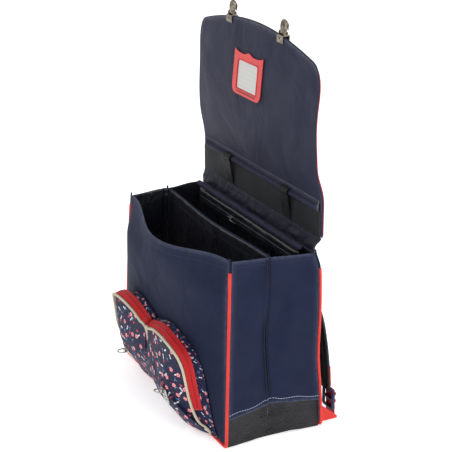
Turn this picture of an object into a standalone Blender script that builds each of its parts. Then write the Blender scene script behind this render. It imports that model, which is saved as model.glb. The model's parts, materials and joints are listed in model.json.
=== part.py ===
"""School ransel standing open with its flap up, in metres, +Z up.

The origin is the centre of the base's underside. +X is the right side, the front is at -Y.
"""
import math

import bmesh
import bpy
from mathutils import Matrix, Vector

# Body, outer faces
BODY_WIDTH = 0.380
BODY_DEPTH = 0.141
BODY_HEIGHT = 0.295
CORNER_RADIUS = 0.006
CORNER_SHARE = 0.3
FRONT_FLARE = 0.006
BACK_FLARE = 0.0165
FRONT_BELLY = 0.034
FRONT_SAG = 0.0205
BELLY_TURN = 0.80
DIVIDER_Y = -0.005
DIVIDER_SAG = 0.003
DIVIDER_BELLY = 0.005

# How the open body slumps: the mouth tilts back and its left side tucks in
MOUTH_TILT = 0.005
LEFT_TUCK = 0.019
LEFT_DROP = 0.008
TUCK_START_Y = 0.058

# Cloth and clearances
STIFF_WALL = 0.0025
CLOTH = 0.0015
BASE_WALL = 0.003
GAP = 0.0003
WELD = 0.00001
SLOPE_STEP = 0.004

# Black band round the foot of the sides
BAND_HEIGHT = 0.047
BAND_ARCH = 0.009
BAND_LAP = 0.008
BAND_CLEARANCE = 0.0007

# Piping
PIPING_RADIUS = 0.0025
PIPING_SINK = 0.001
PIPING_LIFT = 0.0005
FRONT_PIPING_DROP = 0.017
BACK_PIPING_DROP = 0.027
RIM_PIPING_RADIUS = 0.0011

# Fold down each gusset at the divider
FOLD_WIDTH = 0.042
FOLD_DEPTH = 0.0065

# Sleeve inside the rear compartment
SLEEVE_STAND = 0.010
SLEEVE_THICKNESS = 0.009
SLEEVE_FOOT = 0.030
SLEEVE_MARGIN = 0.012
ROLL_RADIUS = 0.0045
ROLL_RISE = 0.004
ROLL_SEAT = 0.0012
ZIP_DROP = 0.018
ZIP_WIDTH = 0.014
ZIP_WALL = 0.0012
SLIDER_WIDTH = 0.008
SLIDER_LENGTH = 0.011
SLIDER_HEIGHT = 0.003
SLIDER_SEAT = 0.001
SLIDER_X = -0.045
PULL_LENGTH = 0.020
PULL_WALL = 0.001

# Pockets
POCKET_WIDTH = 0.160
POCKET_HEIGHT = 0.158
POCKET_REACH = 0.0605
POCKET_GUSSET_BULGE = 0.003
POCKET_SEAT = 0.0006
POCKET_CENTRE = (0.47, 0.52)
GUSSET_SHARE = 0.36
POCKET_FOOT_BLEND = 0.25
LEFT_FOOT_TUCK = 0.45
LEFT_TUCK_TOP = 0.62
LEFT_LOBE_LIFT = 0.008
LOBE_FOOT = 0.45
ZIP_SEAT = 0.0011
ZIP_BAND_INNER = 0.50
ZIP_BAND_OUTER = 0.90
ZIP_BAND_FROM = 2.6
ZIP_BAND_TO = 11.7
POCKET_PIPING_FROM = 1.6
POCKET_PIPING_TO = 12.4
POCKET_PIPING_SEAT = 0.0007
POCKET_PIPING_RADIUS = 0.0018

# Flap
FLAP_Y = 0.0759
FLAP_BOTTOM = 0.314
FLAP_TOP = 0.597
FLAP_OVERHANG = 0.007
FLAP_CORNER_X = 0.025
FLAP_CORNER_Z = 0.0486
FLAP_CORNER_POWER = 2.5
FLAP_ARCH = 0.031
FLAP_LEAN = 0.0074
FLAP_BOW = 0.0153
FLAP_CURL = 0.0104
CURL_Z = 0.466
CURL_SPREAD = 0.067
CURL_ONSET = 5.0
FLAP_PLY_GAP = 0.0008
LEAN_TOP = 0.425
FLAP_CLOTH = 0.001
WEBBING_HEIGHT = 0.040
WEBBING_WALL = 0.0015
ROD_RADIUS = 0.0045
ROD_INSET = 0.013
BAND_SIDE = 0.005
HINGE_INSET = 0.003
LOOP_WIDTH = 0.025
LOOP_X = 0.095
LOOP_FOOT = 0.002
LOOP_CLIMB = 0.4
LOOP_JOIN_ANGLE = 50.0
LOOP_WRAP_ANGLE = 100.0

# Label holder
LABEL_WIDTH = 0.092
LABEL_HEIGHT = 0.0685
LABEL_Z = 0.5165
LABEL_WALL = 0.0012
LABEL_EAR = 0.0048
LABEL_CORNER = 0.012
LABEL_TIP_POWER = 4
LABEL_CREST = 0.9
LABEL_CREST_WIDTH = 0.21
WINDOW_WIDTH = 0.0615
WINDOW_HEIGHT = 0.0435
WINDOW_RISE = 0.0095
CARD_WALL = 0.0004

# Hooks on the flap's free edge
HOOK_X = 0.082
BRACKET_WIDTH = 0.018
BRACKET_DROP = 0.0105
BRACKET_WALL = 0.0012
SLOT_SLACK = 0.0007
EAR_WALL = 0.002
LEVER_HEIGHT = 0.0197
LEVER_THICKNESS = 0.0055
PIN_RADIUS = 0.0012
PIN_CLEARANCE = 0.0004
ROUND_SIDES = 16

# Catches on the pockets
CATCH_HEIGHT_SHARE = 0.35
CATCH_WIDTH = 0.018
CATCH_LENGTH = 0.028
CATCH_WALL = 0.0012
CATCH_CORNER = 0.0036
CATCH_HOLE = 0.004
CATCH_HOLE_SHARES = (0.28, 0.04)
BARREL_SHARE = 0.34
BARREL_SEAT = 0.8
BARREL_WIDTH = 0.007
BARREL_RADIUS = 0.0026
RING_WIRE = 0.001
RING_WIDTH = 0.015
RING_REACH = 0.013
RING_LIFT = 0.5
RING_ROUNDNESS = 0.8

# Back, straps and handle
PAD_INSET = 0.040
PAD_THICKNESS = 0.006
PAD_FOOT = 0.060
PAD_DROP = 0.030
HINGE_WALL = 0.0018
STRAP_WIDTH = 0.055
STRAP_WALL = 0.009
STRAP_TOP_X = 0.070
STRAP_FOOT_WIDTH = 0.040
STRAP_FOOT_INSET = 0.044
STRAP_REACH = 0.016
STRAP_FOOT_Z = 0.048
TAIL_WIDTH = 0.025
TAIL_WALL = 0.0015
ADJUSTER_INSET = 0.030
ADJUSTER_OUT = 0.004
ADJUSTER_WIDTH = 0.032
ADJUSTER_LENGTH = 0.034
ADJUSTER_WALL = 0.004
ADJUSTER_RAIL = 0.0035
TAB_INSET = 0.014
TAB_HEIGHT = 0.032
TAB_REACH = 0.033
TAB_WALL = 0.0025
TAB_TIP = 0.004
TAIL_FOOT_Z = 0.005
HANDLE_REACH = 0.026
HANDLE_WALL = 0.003
HANDLE_WIDTH = 0.024
HANDLE_RAMP = 0.4

SIDES = (("right", 1), ("left", -1))

# Share of the height, how deep the fold is there and how far the seam wanders forward
FOLD_COLUMNS = ("height", "depth", "wander")
FOLDS = (
    (0.00, 0.20, 0.00),
    (0.20, 1.00, -0.25),
    (0.34, 0.95, -0.10),
    (0.56, 0.70, 0.12),
    (0.78, 0.45, 0.05),
    (1.00, 0.30, 0.00),
)

# Share of the height and share of the back's flare that it keeps there
BACK_COLUMNS = ("height", "flare")
BACK_PROFILE = (
    (0.00, 1.00),
    (0.30, 0.82),
    (0.60, 0.66),
    (0.84, 0.56),
    (0.92, 0.46),
    (1.00, 0.00),
)

# Round a pocket from its valley's foot over the lobe: seam across and up as shares of its width
# and height, then the front rim across and up, and its share of the reach
POCKET_COLUMNS = ("seam_across", "seam_up", "rim_across", "rim_up", "rim_reach")
POCKET_ROUND = (
    (0.026, 0.010, 0.026, 0.020, 0.40),
    (0.026, 0.440, 0.026, 0.420, 0.84),
    (0.034, 0.880, 0.026, 0.820, 0.84),
    (0.120, 0.950, 0.110, 0.865, 0.86),
    (0.270, 0.995, 0.260, 0.915, 0.90),
    (0.420, 1.000, 0.420, 0.935, 0.94),
    (0.570, 0.965, 0.570, 0.930, 0.96),
    (0.700, 0.910, 0.700, 0.905, 0.955),
    (0.800, 0.840, 0.775, 0.840, 0.88),
    (0.865, 0.740, 0.810, 0.740, 0.80),
    (0.900, 0.600, 0.825, 0.600, 0.735),
    (0.925, 0.440, 0.835, 0.430, 0.65),
    (0.955, 0.250, 0.830, 0.250, 0.49),
    (0.980, 0.110, 0.860, 0.110, 0.33),
    (1.000, 0.015, 0.950, 0.030, 0.24),
    (0.660, 0.010, 0.660, 0.020, 0.50),
    (0.330, 0.010, 0.330, 0.020, 0.48),
)

# Up the flap: share of the height and share of the half width
FLAP_COLUMNS = ("height", "width")
FLAP_SIDE = (
    (0.00, 0.985),
    (0.14, 0.985),
    (0.30, 0.990),
    (0.48, 1.012),
    (0.69, 0.995),
    (1.00, 0.995),
)

# A shoulder strap from top to foot: share of the length, of its reach and of its way across
STRAP_COLUMNS = ("along", "reach", "across")
STRAP_ROUTE = (
    (0.00, 0.16, 0.00),
    (0.20, 0.45, 0.25),
    (0.44, 0.68, 0.62),
    (0.60, 0.76, 0.80),
    (0.80, 0.98, 0.94),
    (1.00, 1.00, 1.00),
)

# Outline of the hook's lever seen from the side: out and up as shares of its thickness and height
LEVER_SIDE = (
    (-0.50, 0.00),
    (-0.50, 0.52),
    (-0.36, 0.84),
    (0.05, 1.00),
    (0.62, 0.90),
    (1.16, 0.64),
    (1.36, 0.40),
    (0.98, 0.42),
    (0.74, 0.62),
    (0.50, 0.62),
    (0.50, 0.00),
)

# Outline of the lever seen from the front: across and up as shares of its width and height
LEVER_FRONT = (
    (-0.50, -0.20),
    (-0.50, 0.52),
    (-0.44, 0.76),
    (-0.27, 0.94),
    (0.00, 1.01),
    (0.27, 0.94),
    (0.44, 0.76),
    (0.50, 0.52),
    (0.50, -0.20),
)


# Places that follow from the sizes
FLAP_HALF_WIDTH = BODY_WIDTH / 2 + FLAP_OVERHANG
ROD_HALF_WIDTH = FLAP_HALF_WIDTH - ROD_INSET
BAND_HALF_WIDTH = FLAP_HALF_WIDTH - BAND_SIDE
HINGE_HALF_WIDTH = FLAP_HALF_WIDTH - HINGE_INSET
PAD_WIDTH = BODY_WIDTH - 2 * PAD_INSET
STRAP_FOOT_X = BODY_WIDTH / 2 - STRAP_FOOT_INSET
ADJUSTER_X = BODY_WIDTH / 2 - ADJUSTER_INSET
TAB_X = BODY_WIDTH / 2 - TAB_INSET
BAND_INSET = CLOTH + GAP + FOLD_DEPTH * FOLDS[0][1]
PANEL_SIDE = PIPING_RADIUS + GAP + PIPING_SINK
PANEL_FLOOR = 2 * (PIPING_RADIUS + GAP) + PIPING_LIFT
GUSSET_END = PIPING_RADIUS + GAP
GUSSET_X = BODY_WIDTH / 2
ROLL_Z = BODY_HEIGHT + ROLL_RISE
SLEEVE_TOP = ROLL_Z - ROLL_RADIUS - ROLL_SEAT
ZIP_TOP = ROLL_Z - ZIP_DROP
VALLEY = POCKET_WIDTH * POCKET_ROUND[0][0]
WEBBING_TOP = FLAP_BOTTOM + WEBBING_HEIGHT
ROD_Z = WEBBING_TOP + ROD_RADIUS + GAP
ROD_TOP = ROD_Z + ROD_RADIUS
FLAP_LAYERS = 2 * FLAP_CLOTH + FLAP_PLY_GAP
TAB_FOOT_Z = PIPING_RADIUS / 2


# Turns of a flat plate: to face the front, and to face a side with its X along the depth
UPRIGHT = Matrix.Rotation(math.pi / 2, 4, "X")
ON_SIDE = Matrix.Rotation(math.pi / 2, 4, "Z") @ UPRIGHT


def clear_scene():
    """Empties the file of objects."""
    for obj in list(bpy.data.objects):
        bpy.data.objects.remove(obj, do_unlink=True)


def new_collection(name):
    collection = bpy.data.collections.new(name)
    bpy.context.scene.collection.children.link(collection)
    return collection


def make_material(name, colour, roughness, metallic=0.0):
    material = bpy.data.materials.new(name)
    material.use_nodes = True
    shader = material.node_tree.nodes["Principled BSDF"]
    shader.inputs["Base Color"].default_value = (*colour, 1.0)
    shader.inputs["Roughness"].default_value = roughness
    shader.inputs["Metallic"].default_value = metallic
    material.diffuse_color = (*colour, 1.0)
    return material


clear_scene()
PARTS = new_collection("school_ransel")
CUTTERS = new_collection("cutters")
NAVY = make_material("navy_cloth", (0.026, 0.034, 0.081), 0.7)
LINING = make_material("dark_lining", (0.006, 0.008, 0.014), 0.4)
INNER_CLOTH = make_material("grey_navy_cloth", (0.042, 0.045, 0.071), 0.6)
PRINT = make_material("printed_cloth", (0.014, 0.019, 0.067), 0.7)
RED = make_material("red_piping", (0.80, 0.055, 0.040), 0.45)
ZIP_RED = make_material("red_zip", (0.72, 0.025, 0.028), 0.6)
BEIGE = make_material("beige_piping", (0.58, 0.51, 0.38), 0.6)
BLACK = make_material("black_coated", (0.035, 0.035, 0.038), 0.6)
WEBBING = make_material("black_webbing", (0.022, 0.023, 0.022), 0.7)
MESH = make_material("black_mesh", (0.015, 0.015, 0.017), 0.8)
VINYL = make_material("red_vinyl", (0.78, 0.05, 0.045), 0.35)
PAPER = make_material("ruled_card", (0.66, 0.65, 0.61), 0.5)
NICKEL = make_material("aged_nickel", (0.25, 0.22, 0.19), 0.35, 1.0)
PLASTIC = make_material("navy_plastic", (0.04, 0.05, 0.10), 0.4)


def link(obj, material, collection=PARTS):
    obj.data.materials.append(material)
    collection.objects.link(obj)
    return obj


def blend(before, low, high, after, share):
    """Smooth value between low and high with the slopes that their neighbours give."""
    square = share * share
    cube = square * share
    return (
        (2 * cube - 3 * square + 1) * low[0]
        + (cube - 2 * square + share) * (high[0] - before[0]) / (high[1] - before[1]) * (high[1] - low[1])
        + (3 * square - 2 * cube) * high[0]
        + (cube - square) * (after[0] - low[0]) / (after[1] - low[1]) * (high[1] - low[1])
    )


def interpolate(rows, columns, name, position):
    """Smooth value of a table's named column at a position in its first column."""
    column = columns.index(name)
    last = len(rows) - 1
    position = min(max(position, rows[0][0]), rows[last][0])
    index = 0
    while index < last - 1 and position > rows[index + 1][0]:
        index += 1
    picks = (max(index - 1, 0), index, index + 1, min(index + 2, last))
    before, low, high, after = [(rows[pick][column], rows[pick][0]) for pick in picks]
    return blend(before, low, high, after, (position - low[1]) / (high[1] - low[1]))


def smoothstep(value):
    value = min(max(value, 0.0), 1.0)
    return value * value * (3 - 2 * value)


def bump(away):
    """A soft ridge: 1 at 0 and almost gone at 1."""
    return math.exp(-4 * away * away)


def signed(point, sign):
    return Vector((point[0] * sign, point[1], point[2]))


def sheet(name, material, place, columns, rows, thickness, sign=1, soft=True, even=True):
    """A wall of even thickness: place(u, v) is its outer face, and the wall grows inward."""
    mesh = bpy.data.meshes.new(name)
    bm = bmesh.new()
    bmesh.ops.create_grid(bm, x_segments=columns, y_segments=rows, size=0.5)
    for vert in bm.verts:
        point = signed(place(vert.co.x + 0.5, vert.co.y + 0.5), sign)
        vert.co = slump(point) if soft else point
    bmesh.ops.remove_doubles(bm, verts=bm.verts, dist=WELD)
    if sign < 0:
        bmesh.ops.reverse_faces(bm, faces=bm.faces)
    bm.to_mesh(mesh)
    bm.free()
    obj = link(bpy.data.objects.new(name, mesh), material)
    wall = obj.modifiers.new("wall", "SOLIDIFY")
    wall.thickness = thickness
    wall.offset = -1.0
    wall.use_even_offset = even
    mesh.shade_smooth()
    return obj


def tube(name, material, points, radius, resolution=1, sign=1, closed=False, soft=True):
    """A round cord along the points, with filled ends."""
    curve = bpy.data.curves.new(name, "CURVE")
    curve.dimensions = "3D"
    curve.bevel_depth = radius
    curve.bevel_resolution = resolution
    curve.use_fill_caps = not closed
    spline = curve.splines.new("POLY")
    spline.points.add(len(points) - 1)
    for target, point in zip(spline.points, points):
        place = signed(point, sign)
        target.co = (*(slump(place) if soft else place), 1.0)
    spline.use_cyclic_u = closed
    return link(bpy.data.objects.new(name, curve), material)


def plate(name, material, outline, thickness, holes=(), collection=PARTS):
    """A flat plate in its own XY plane, centred on it, with holes cut through."""
    curve = bpy.data.curves.new(name, "CURVE")
    curve.dimensions = "2D"
    curve.fill_mode = "BOTH"
    curve.extrude = thickness / 2
    for ring in (outline, *holes):
        spline = curve.splines.new("POLY")
        spline.points.add(len(ring) - 1)
        for target, point in zip(spline.points, ring):
            target.co = (point[0], point[1], 0.0, 1.0)
        spline.use_cyclic_u = True
    return link(bpy.data.objects.new(name, curve), material, collection)


def box(name, material, size, location, collection=PARTS):
    mesh = bpy.data.meshes.new(name)
    bm = bmesh.new()
    bmesh.ops.create_cube(bm, size=1.0)
    bmesh.ops.scale(bm, vec=size, verts=bm.verts)
    bm.to_mesh(mesh)
    bm.free()
    obj = link(bpy.data.objects.new(name, mesh), material, collection)
    obj.location = location
    return obj


def rod(name, material, radius, length, location, collection=PARTS):
    """A cylinder along X."""
    mesh = bpy.data.meshes.new(name)
    bm = bmesh.new()
    bmesh.ops.create_cone(
        bm,
        cap_ends=True,
        segments=ROUND_SIDES,
        radius1=radius,
        radius2=radius,
        depth=length,
        matrix=Matrix.Rotation(math.pi / 2, 4, "Y"),
    )
    bm.to_mesh(mesh)
    bm.free()
    obj = link(bpy.data.objects.new(name, mesh), material, collection)
    obj.location = location
    return obj


def solid_mesh(obj):
    """Turns a curve object into a mesh object with its caps welded."""
    bpy.context.view_layer.update()
    evaluated = obj.evaluated_get(bpy.context.evaluated_depsgraph_get())
    mesh = bpy.data.meshes.new_from_object(evaluated)
    bm = bmesh.new()
    bm.from_mesh(mesh)
    bmesh.ops.remove_doubles(bm, verts=bm.verts, dist=WELD)
    bm.to_mesh(mesh)
    bm.free()
    name = obj.name
    world = obj.matrix_world.copy()
    collection = obj.users_collection[0]
    bpy.data.objects.remove(obj, do_unlink=True)
    solid = bpy.data.objects.new(name, mesh)
    solid.matrix_world = world
    collection.objects.link(solid)
    return solid


def combine(target, tool, operation):
    """Adds, cuts or keeps what is common, with the tool kept as a hidden guide."""
    change = target.modifiers.new(f"{operation.lower()}_{tool.name}", "BOOLEAN")
    change.operation = operation
    change.object = tool
    tool.hide_render = True
    tool.display_type = "WIRE"


def frame_at(point, normal, up):
    """Placement whose local Z is the normal and whose local Y leans towards up."""
    z_axis = normal.normalized()
    x_axis = up.cross(z_axis).normalized()
    y_axis = z_axis.cross(x_axis)
    matrix = Matrix((x_axis, y_axis, z_axis)).transposed().to_4x4()
    matrix.translation = point
    return matrix


def front_face(x, z):
    """Outer face of the front: flared at the foot and bellied forward at mid-width."""
    rise = min(max(z / BODY_HEIGHT, 0.0), 1.0)
    across = min(abs(2 * x / BODY_WIDTH), 1.0)
    at_mouth = smoothstep((rise - BELLY_TURN) / (1 - BELLY_TURN))
    broad = 1 - across ** 4
    narrow = 0.5 * (1 + math.cos(math.pi * across))
    belly = (broad + (narrow - broad) * at_mouth) * (1 - (1 - rise) ** 2)
    return -(BODY_DEPTH / 2 + FRONT_FLARE * (1 - rise) + FRONT_BELLY * belly)


def back_face(z):
    rise = min(max(z / BODY_HEIGHT, 0.0), 1.0)
    return BODY_DEPTH / 2 + BACK_FLARE * interpolate(BACK_PROFILE, BACK_COLUMNS, "flare", rise)


def slump(point):
    """Moves a point of the body as the open mouth tilts back and its left side tucks in."""
    x, y, z = point
    rise = min(max(z / BODY_HEIGHT, 0.0), 1.0)
    left = max(-2 * x / BODY_WIDTH, 0.0)
    tuck = LEFT_TUCK * left * rise ** 2 * smoothstep((TUCK_START_Y - y) / (TUCK_START_Y - DIVIDER_Y))
    drop = LEFT_DROP * left * rise ** 3 * smoothstep((DIVIDER_Y - y) / (DIVIDER_Y + BODY_DEPTH / 2))
    tilt = -MOUTH_TILT * y / (BODY_DEPTH / 2) * rise ** 3
    return Vector((x + tuck, y, z + tilt - drop))


def outline(share, side, floor, top):
    """Half width and height of the round-cornered outline at a share of the way up."""
    centre = BODY_WIDTH / 2 - side - CORNER_RADIUS
    if share < CORNER_SHARE:
        angle = share / CORNER_SHARE * math.pi / 2
        return centre + CORNER_RADIUS * math.sin(angle), floor + CORNER_RADIUS * (1 - math.cos(angle))
    rise = (share - CORNER_SHARE) / (1 - CORNER_SHARE)
    start = floor + CORNER_RADIUS
    return centre + CORNER_RADIUS, start + rise * (top - start)


def fold_seam(z):
    """Depth position of the fold in a gusset at a height."""
    return DIVIDER_Y - FOLD_WIDTH * interpolate(FOLDS, FOLD_COLUMNS, "wander", z / BODY_HEIGHT) / 2


def gusset_face(y, z):
    """Outer face of the right gusset, drawn in along the divider's seam."""
    away = (y - fold_seam(z)) / FOLD_WIDTH
    depth = FOLD_DEPTH * interpolate(FOLDS, FOLD_COLUMNS, "depth", z / BODY_HEIGHT)
    return GUSSET_X - depth * bump(away)


def band_top(share):
    """Height of the black band's visible edge at a share of the way from front to back."""
    return BAND_HEIGHT + BAND_ARCH * math.sin(math.pi * share)


def build_base():
    half_width = BODY_WIDTH / 2 - BAND_INSET - CORNER_RADIUS - CLOTH - GAP
    front = front_face(half_width, 0.0) + GUSSET_END
    back = back_face(0.0) - GUSSET_END
    size = (2 * half_width, back - front, BASE_WALL)
    base = box("base_panel", BLACK, size, (0.0, (front + back) / 2, BASE_WALL / 2))
    edge = base.modifiers.new("rounded_edge", "BEVEL")
    edge.width = BASE_WALL / 4
    edge.segments = 1
    return base


def build_front_panel():
    def place(u, v):
        half_width, z = outline(v, PANEL_SIDE, PANEL_FLOOR, BODY_HEIGHT)
        x = (2 * u - 1) * half_width
        sag = FRONT_SAG * math.cos(math.pi / 2 * (2 * u - 1)) ** 2
        y = front_face(x, z)
        return x, y, z - sag * smoothstep(v)

    return sheet("front_panel", NAVY, place, 14, 9, STIFF_WALL)


def build_back_panel():
    def place(u, v):
        half_width, z = outline(v, PANEL_SIDE, PANEL_FLOOR, BODY_HEIGHT)
        return (1 - 2 * u) * half_width, back_face(z), z

    return sheet("back_panel", NAVY, place, 6, 12, STIFF_WALL)


def gusset_y(share, z):
    front = front_face(GUSSET_X, z) + GUSSET_END
    back = back_face(z) - GUSSET_END
    return front + share * (back - front)


def build_gusset(name, sign):
    def place(u, v):
        foot = band_top(u)
        z = foot + v * (BODY_HEIGHT - foot)
        y = gusset_y(u, z)
        return gusset_face(y, z), y, z

    return sheet(name, NAVY, place, 12, 8, CLOTH, sign)


def build_base_band(name, sign):
    def place(u, v):
        side = CLOTH + GAP + FOLD_DEPTH * FOLDS[0][1] * bump(2 * u - 1)
        half_width, z = outline(v, side, 0.0, band_top(u) + BAND_LAP)
        y = gusset_y(u, z)
        inner = gusset_face(y, max(z, BAND_HEIGHT)) - CLOTH - BAND_CLEARANCE
        return min(half_width, inner), y, z

    return sheet(name, BLACK, place, 12, 5, CLOTH, sign)


def build_divider():
    """Cloth wall between the compartments, its foot drawn in to clear the band's round corner."""
    floor = BASE_WALL + GAP
    band_back = BAND_HEIGHT + BAND_ARCH + BAND_LAP

    def place(u, v):
        z = floor + v * (BODY_HEIGHT - floor)
        layers = 2 if z < band_back + GAP else 1
        half_width = gusset_face(fold_seam(z), max(z, BAND_HEIGHT)) - layers * (CLOTH + BAND_CLEARANCE) - 2 * GAP
        if z < CORNER_RADIUS:
            half_width -= CORNER_RADIUS * (1 - z / CORNER_RADIUS) ** 2
        across = 2 * u - 1
        mid = math.cos(math.pi / 2 * across) ** 2
        y = fold_seam(z) - DIVIDER_BELLY * mid * v
        return across * half_width, y, z - DIVIDER_SAG * mid * smoothstep(v)

    return sheet("divider", LINING, place, 8, 8, CLOTH)


def sleeve_face(z):
    """Front face of the padded sleeve, which leans away from the back wall at its top."""
    low = back_face(SLEEVE_FOOT) - STIFF_WALL - GAP - SLEEVE_THICKNESS
    high = back_face(BODY_HEIGHT) - STIFF_WALL - SLEEVE_STAND - SLEEVE_THICKNESS
    return low + (high - low) * (z - SLEEVE_FOOT) / (SLEEVE_TOP - SLEEVE_FOOT)


def sleeve_half_width():
    return BODY_WIDTH / 2 - CLOTH - FOLD_DEPTH - SLEEVE_MARGIN


def build_sleeve():
    half_width = sleeve_half_width()

    def place(u, v):
        z = SLEEVE_FOOT + v * (SLEEVE_TOP - SLEEVE_FOOT)
        return (2 * u - 1) * half_width, sleeve_face(z), z

    sheet("sleeve_panel", LINING, place, 4, 8, SLEEVE_THICKNESS)

    y = sleeve_face(SLEEVE_TOP) + SLEEVE_THICKNESS / 2
    ends = [(-half_width, y, ROLL_Z), (half_width, y, ROLL_Z)]
    tube("sleeve_roll", INNER_CLOTH, ends, ROLL_RADIUS, 2)

    def tape(u, v):
        z = ZIP_TOP - ZIP_WIDTH + v * ZIP_WIDTH
        y_face = sleeve_face(z) - GAP - ZIP_WALL
        return (2 * u - 1) * (half_width - SLEEVE_MARGIN), y_face, z

    sheet("sleeve_zip", LINING, tape, 6, 2, ZIP_WALL)
    build_slider()


def build_slider():
    """Slider and pull on the sleeve's zip, one casting."""
    z = ZIP_TOP - ZIP_WIDTH / 2
    y = sleeve_face(z) - GAP - ZIP_WALL - SLIDER_SEAT - SLIDER_HEIGHT / 2
    place = slump((SLIDER_X, y, z))
    slider = box("sleeve_slider", NICKEL, (SLIDER_LENGTH, SLIDER_HEIGHT, SLIDER_WIDTH), place)
    pull_x = place.x + (SLIDER_LENGTH + PULL_LENGTH) / 2 - SLIDER_HEIGHT
    pull_size = (PULL_LENGTH, PULL_WALL, SLIDER_WIDTH / 2)
    pull_place = (pull_x, place.y - SLIDER_HEIGHT / 2, place.z - SLIDER_WIDTH / 4)
    pull = box("slider_pull", NICKEL, pull_size, pull_place, CUTTERS)
    combine(slider, pull, "UNION")
    return slider


# Piping round the two frames


def frame_route(face, drop, steps):
    """Points down one side, round the foot and up the other."""
    points = []
    top = BODY_HEIGHT - drop
    for index in range(steps + 1):
        half_width, z = outline(1 - index / steps, PIPING_SINK, PIPING_RADIUS + PIPING_LIFT, top)
        points.append(Vector((half_width, face(half_width, z), z)))
    return points + [signed(point, -1) for point in reversed(points)]


def build_piping():
    front = frame_route(lambda x, z: front_face(BODY_WIDTH / 2, z), FRONT_PIPING_DROP, 12)
    tube("piping_front", RED, front, PIPING_RADIUS)
    back = frame_route(lambda x, z: back_face(z), BACK_PIPING_DROP, 12)
    tube("piping_back", RED, back, PIPING_RADIUS)


# Pockets


def around(share):
    """The pocket's row at a share of the way round it, smooth and closed."""
    count = len(POCKET_ROUND)
    place = (share % 1.0) * count
    index = int(place)
    rows = [POCKET_ROUND[(index + step) % count] for step in (-1, 0, 1, 2)]
    values = []
    for column in range(len(POCKET_COLUMNS)):
        picks = [(row[column], step) for row, step in zip(rows, (-1, 0, 1, 2))]
        values.append(max(blend(*picks, place - index), 0.0))
    return values


def pocket_point(share, inward, sign):
    """Outer face of a pocket, as if on the right: 0 is the seam, GUSSET_SHARE the rim, 1 the centre."""
    seam_across, seam_up, rim_across, rim_up, rim_reach = around(share)
    on_gusset = inward < GUSSET_SHARE
    part = inward / GUSSET_SHARE if on_gusset else (inward - GUSSET_SHARE) / (1 - GUSSET_SHARE)
    start = (seam_across, seam_up) if on_gusset else (rim_across, rim_up)
    end = (rim_across, rim_up) if on_gusset else POCKET_CENTRE
    up = start[1] + part * (end[1] - start[1])
    x = max((start[0] + part * (end[0] - start[0])) * POCKET_WIDTH, VALLEY)
    z = up * POCKET_HEIGHT + PANEL_FLOOR * (1 - smoothstep(up / POCKET_FOOT_BLEND))
    fullness = 1.0
    if sign < 0:
        fullness -= LEFT_FOOT_TUCK * (1 - smoothstep(up / LEFT_TUCK_TOP))
        z += LEFT_LOBE_LIFT * smoothstep((up - LOBE_FOOT) / (1 - LOBE_FOOT)) * smoothstep(x / POCKET_WIDTH)
    if on_gusset:
        z += POCKET_GUSSET_BULGE * math.sin(math.pi * part) * smoothstep(2 * seam_up)
        seam_y = front_face(x, z) - CLOTH - POCKET_SEAT
        y = seam_y + part * (-BODY_DEPTH / 2 - POCKET_REACH * rim_reach * fullness - seam_y)
    else:
        reach = rim_reach + (1 - rim_reach) * math.sin(math.pi / 2 * part)
        y = -BODY_DEPTH / 2 - POCKET_REACH * reach * fullness
    return Vector((x, min(y, front_face(x, z) - CLOTH - POCKET_SEAT), z))


def outward(share, inward, sign):
    """Direction straight out of the pocket's face."""
    step = SLOPE_STEP
    along = pocket_point(share + step, inward, sign) - pocket_point(share - step, inward, sign)
    across = pocket_point(share, inward + step, sign) - pocket_point(share, inward - step, sign)
    return across.cross(along).normalized()


def row_share(row):
    """Share of the way round at a row of the pocket's table."""
    return row / len(POCKET_ROUND)


def build_pocket(name, sign):
    def place(u, v):
        return pocket_point(1 - u, v, sign)

    return sheet(name, PRINT, place, 30, 6, CLOTH, sign, True, False)


def build_pocket_zip(name, sign):
    """Tape that lies on the pocket's gusset beside the rim."""
    start = row_share(ZIP_BAND_FROM)
    end = row_share(ZIP_BAND_TO)

    def place(u, v):
        share = end + (start - end) * u
        inward = GUSSET_SHARE * (ZIP_BAND_INNER + (ZIP_BAND_OUTER - ZIP_BAND_INNER) * v)
        return pocket_point(share, inward, sign) + outward(share, inward, sign) * (ZIP_SEAT + ZIP_WALL)

    return sheet(name, ZIP_RED, place, 20, 2, ZIP_WALL, sign)


def build_pocket_piping(name, sign):
    """Piping on the pocket's rim, from the valley over the lobe to the front frame's foot."""
    points = []
    steps = 28
    start = row_share(POCKET_PIPING_FROM)
    end = row_share(POCKET_PIPING_TO)
    beside = GUSSET_SHARE / 18
    for index in range(steps + 1):
        share = start + (end - start) * index / steps
        point = pocket_point(share, GUSSET_SHARE, sign)
        lift = outward(share, GUSSET_SHARE - beside, sign) + outward(share, GUSSET_SHARE + beside, sign)
        points.append(point + lift.normalized() * (POCKET_PIPING_RADIUS + POCKET_PIPING_SEAT))
    return tube(name, BEIGE, points, POCKET_PIPING_RADIUS, 1, sign)


# Catches


def catch_frame(sign):
    """Placement of a catch on its pocket, as if on the right: local Z out, local Y up the pocket."""
    target = POCKET_HEIGHT * CATCH_HEIGHT_SHARE
    turns = 360
    rings = 40
    best = None
    for turn in range(turns):
        for ring in range(rings):
            share = turn / turns
            inward = GUSSET_SHARE + (1 - GUSSET_SHARE) * ring / rings
            point = pocket_point(share, inward, sign)
            miss = math.hypot(point.x - HOOK_X, point.z - target)
            if best is None or miss < best[0]:
                best = (miss, point, share, inward)
    normal = outward(best[2], best[3], sign)
    normal.x = 0.0
    return frame_at(best[1], normal, Vector((0.0, 0.0, 1.0)))


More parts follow.
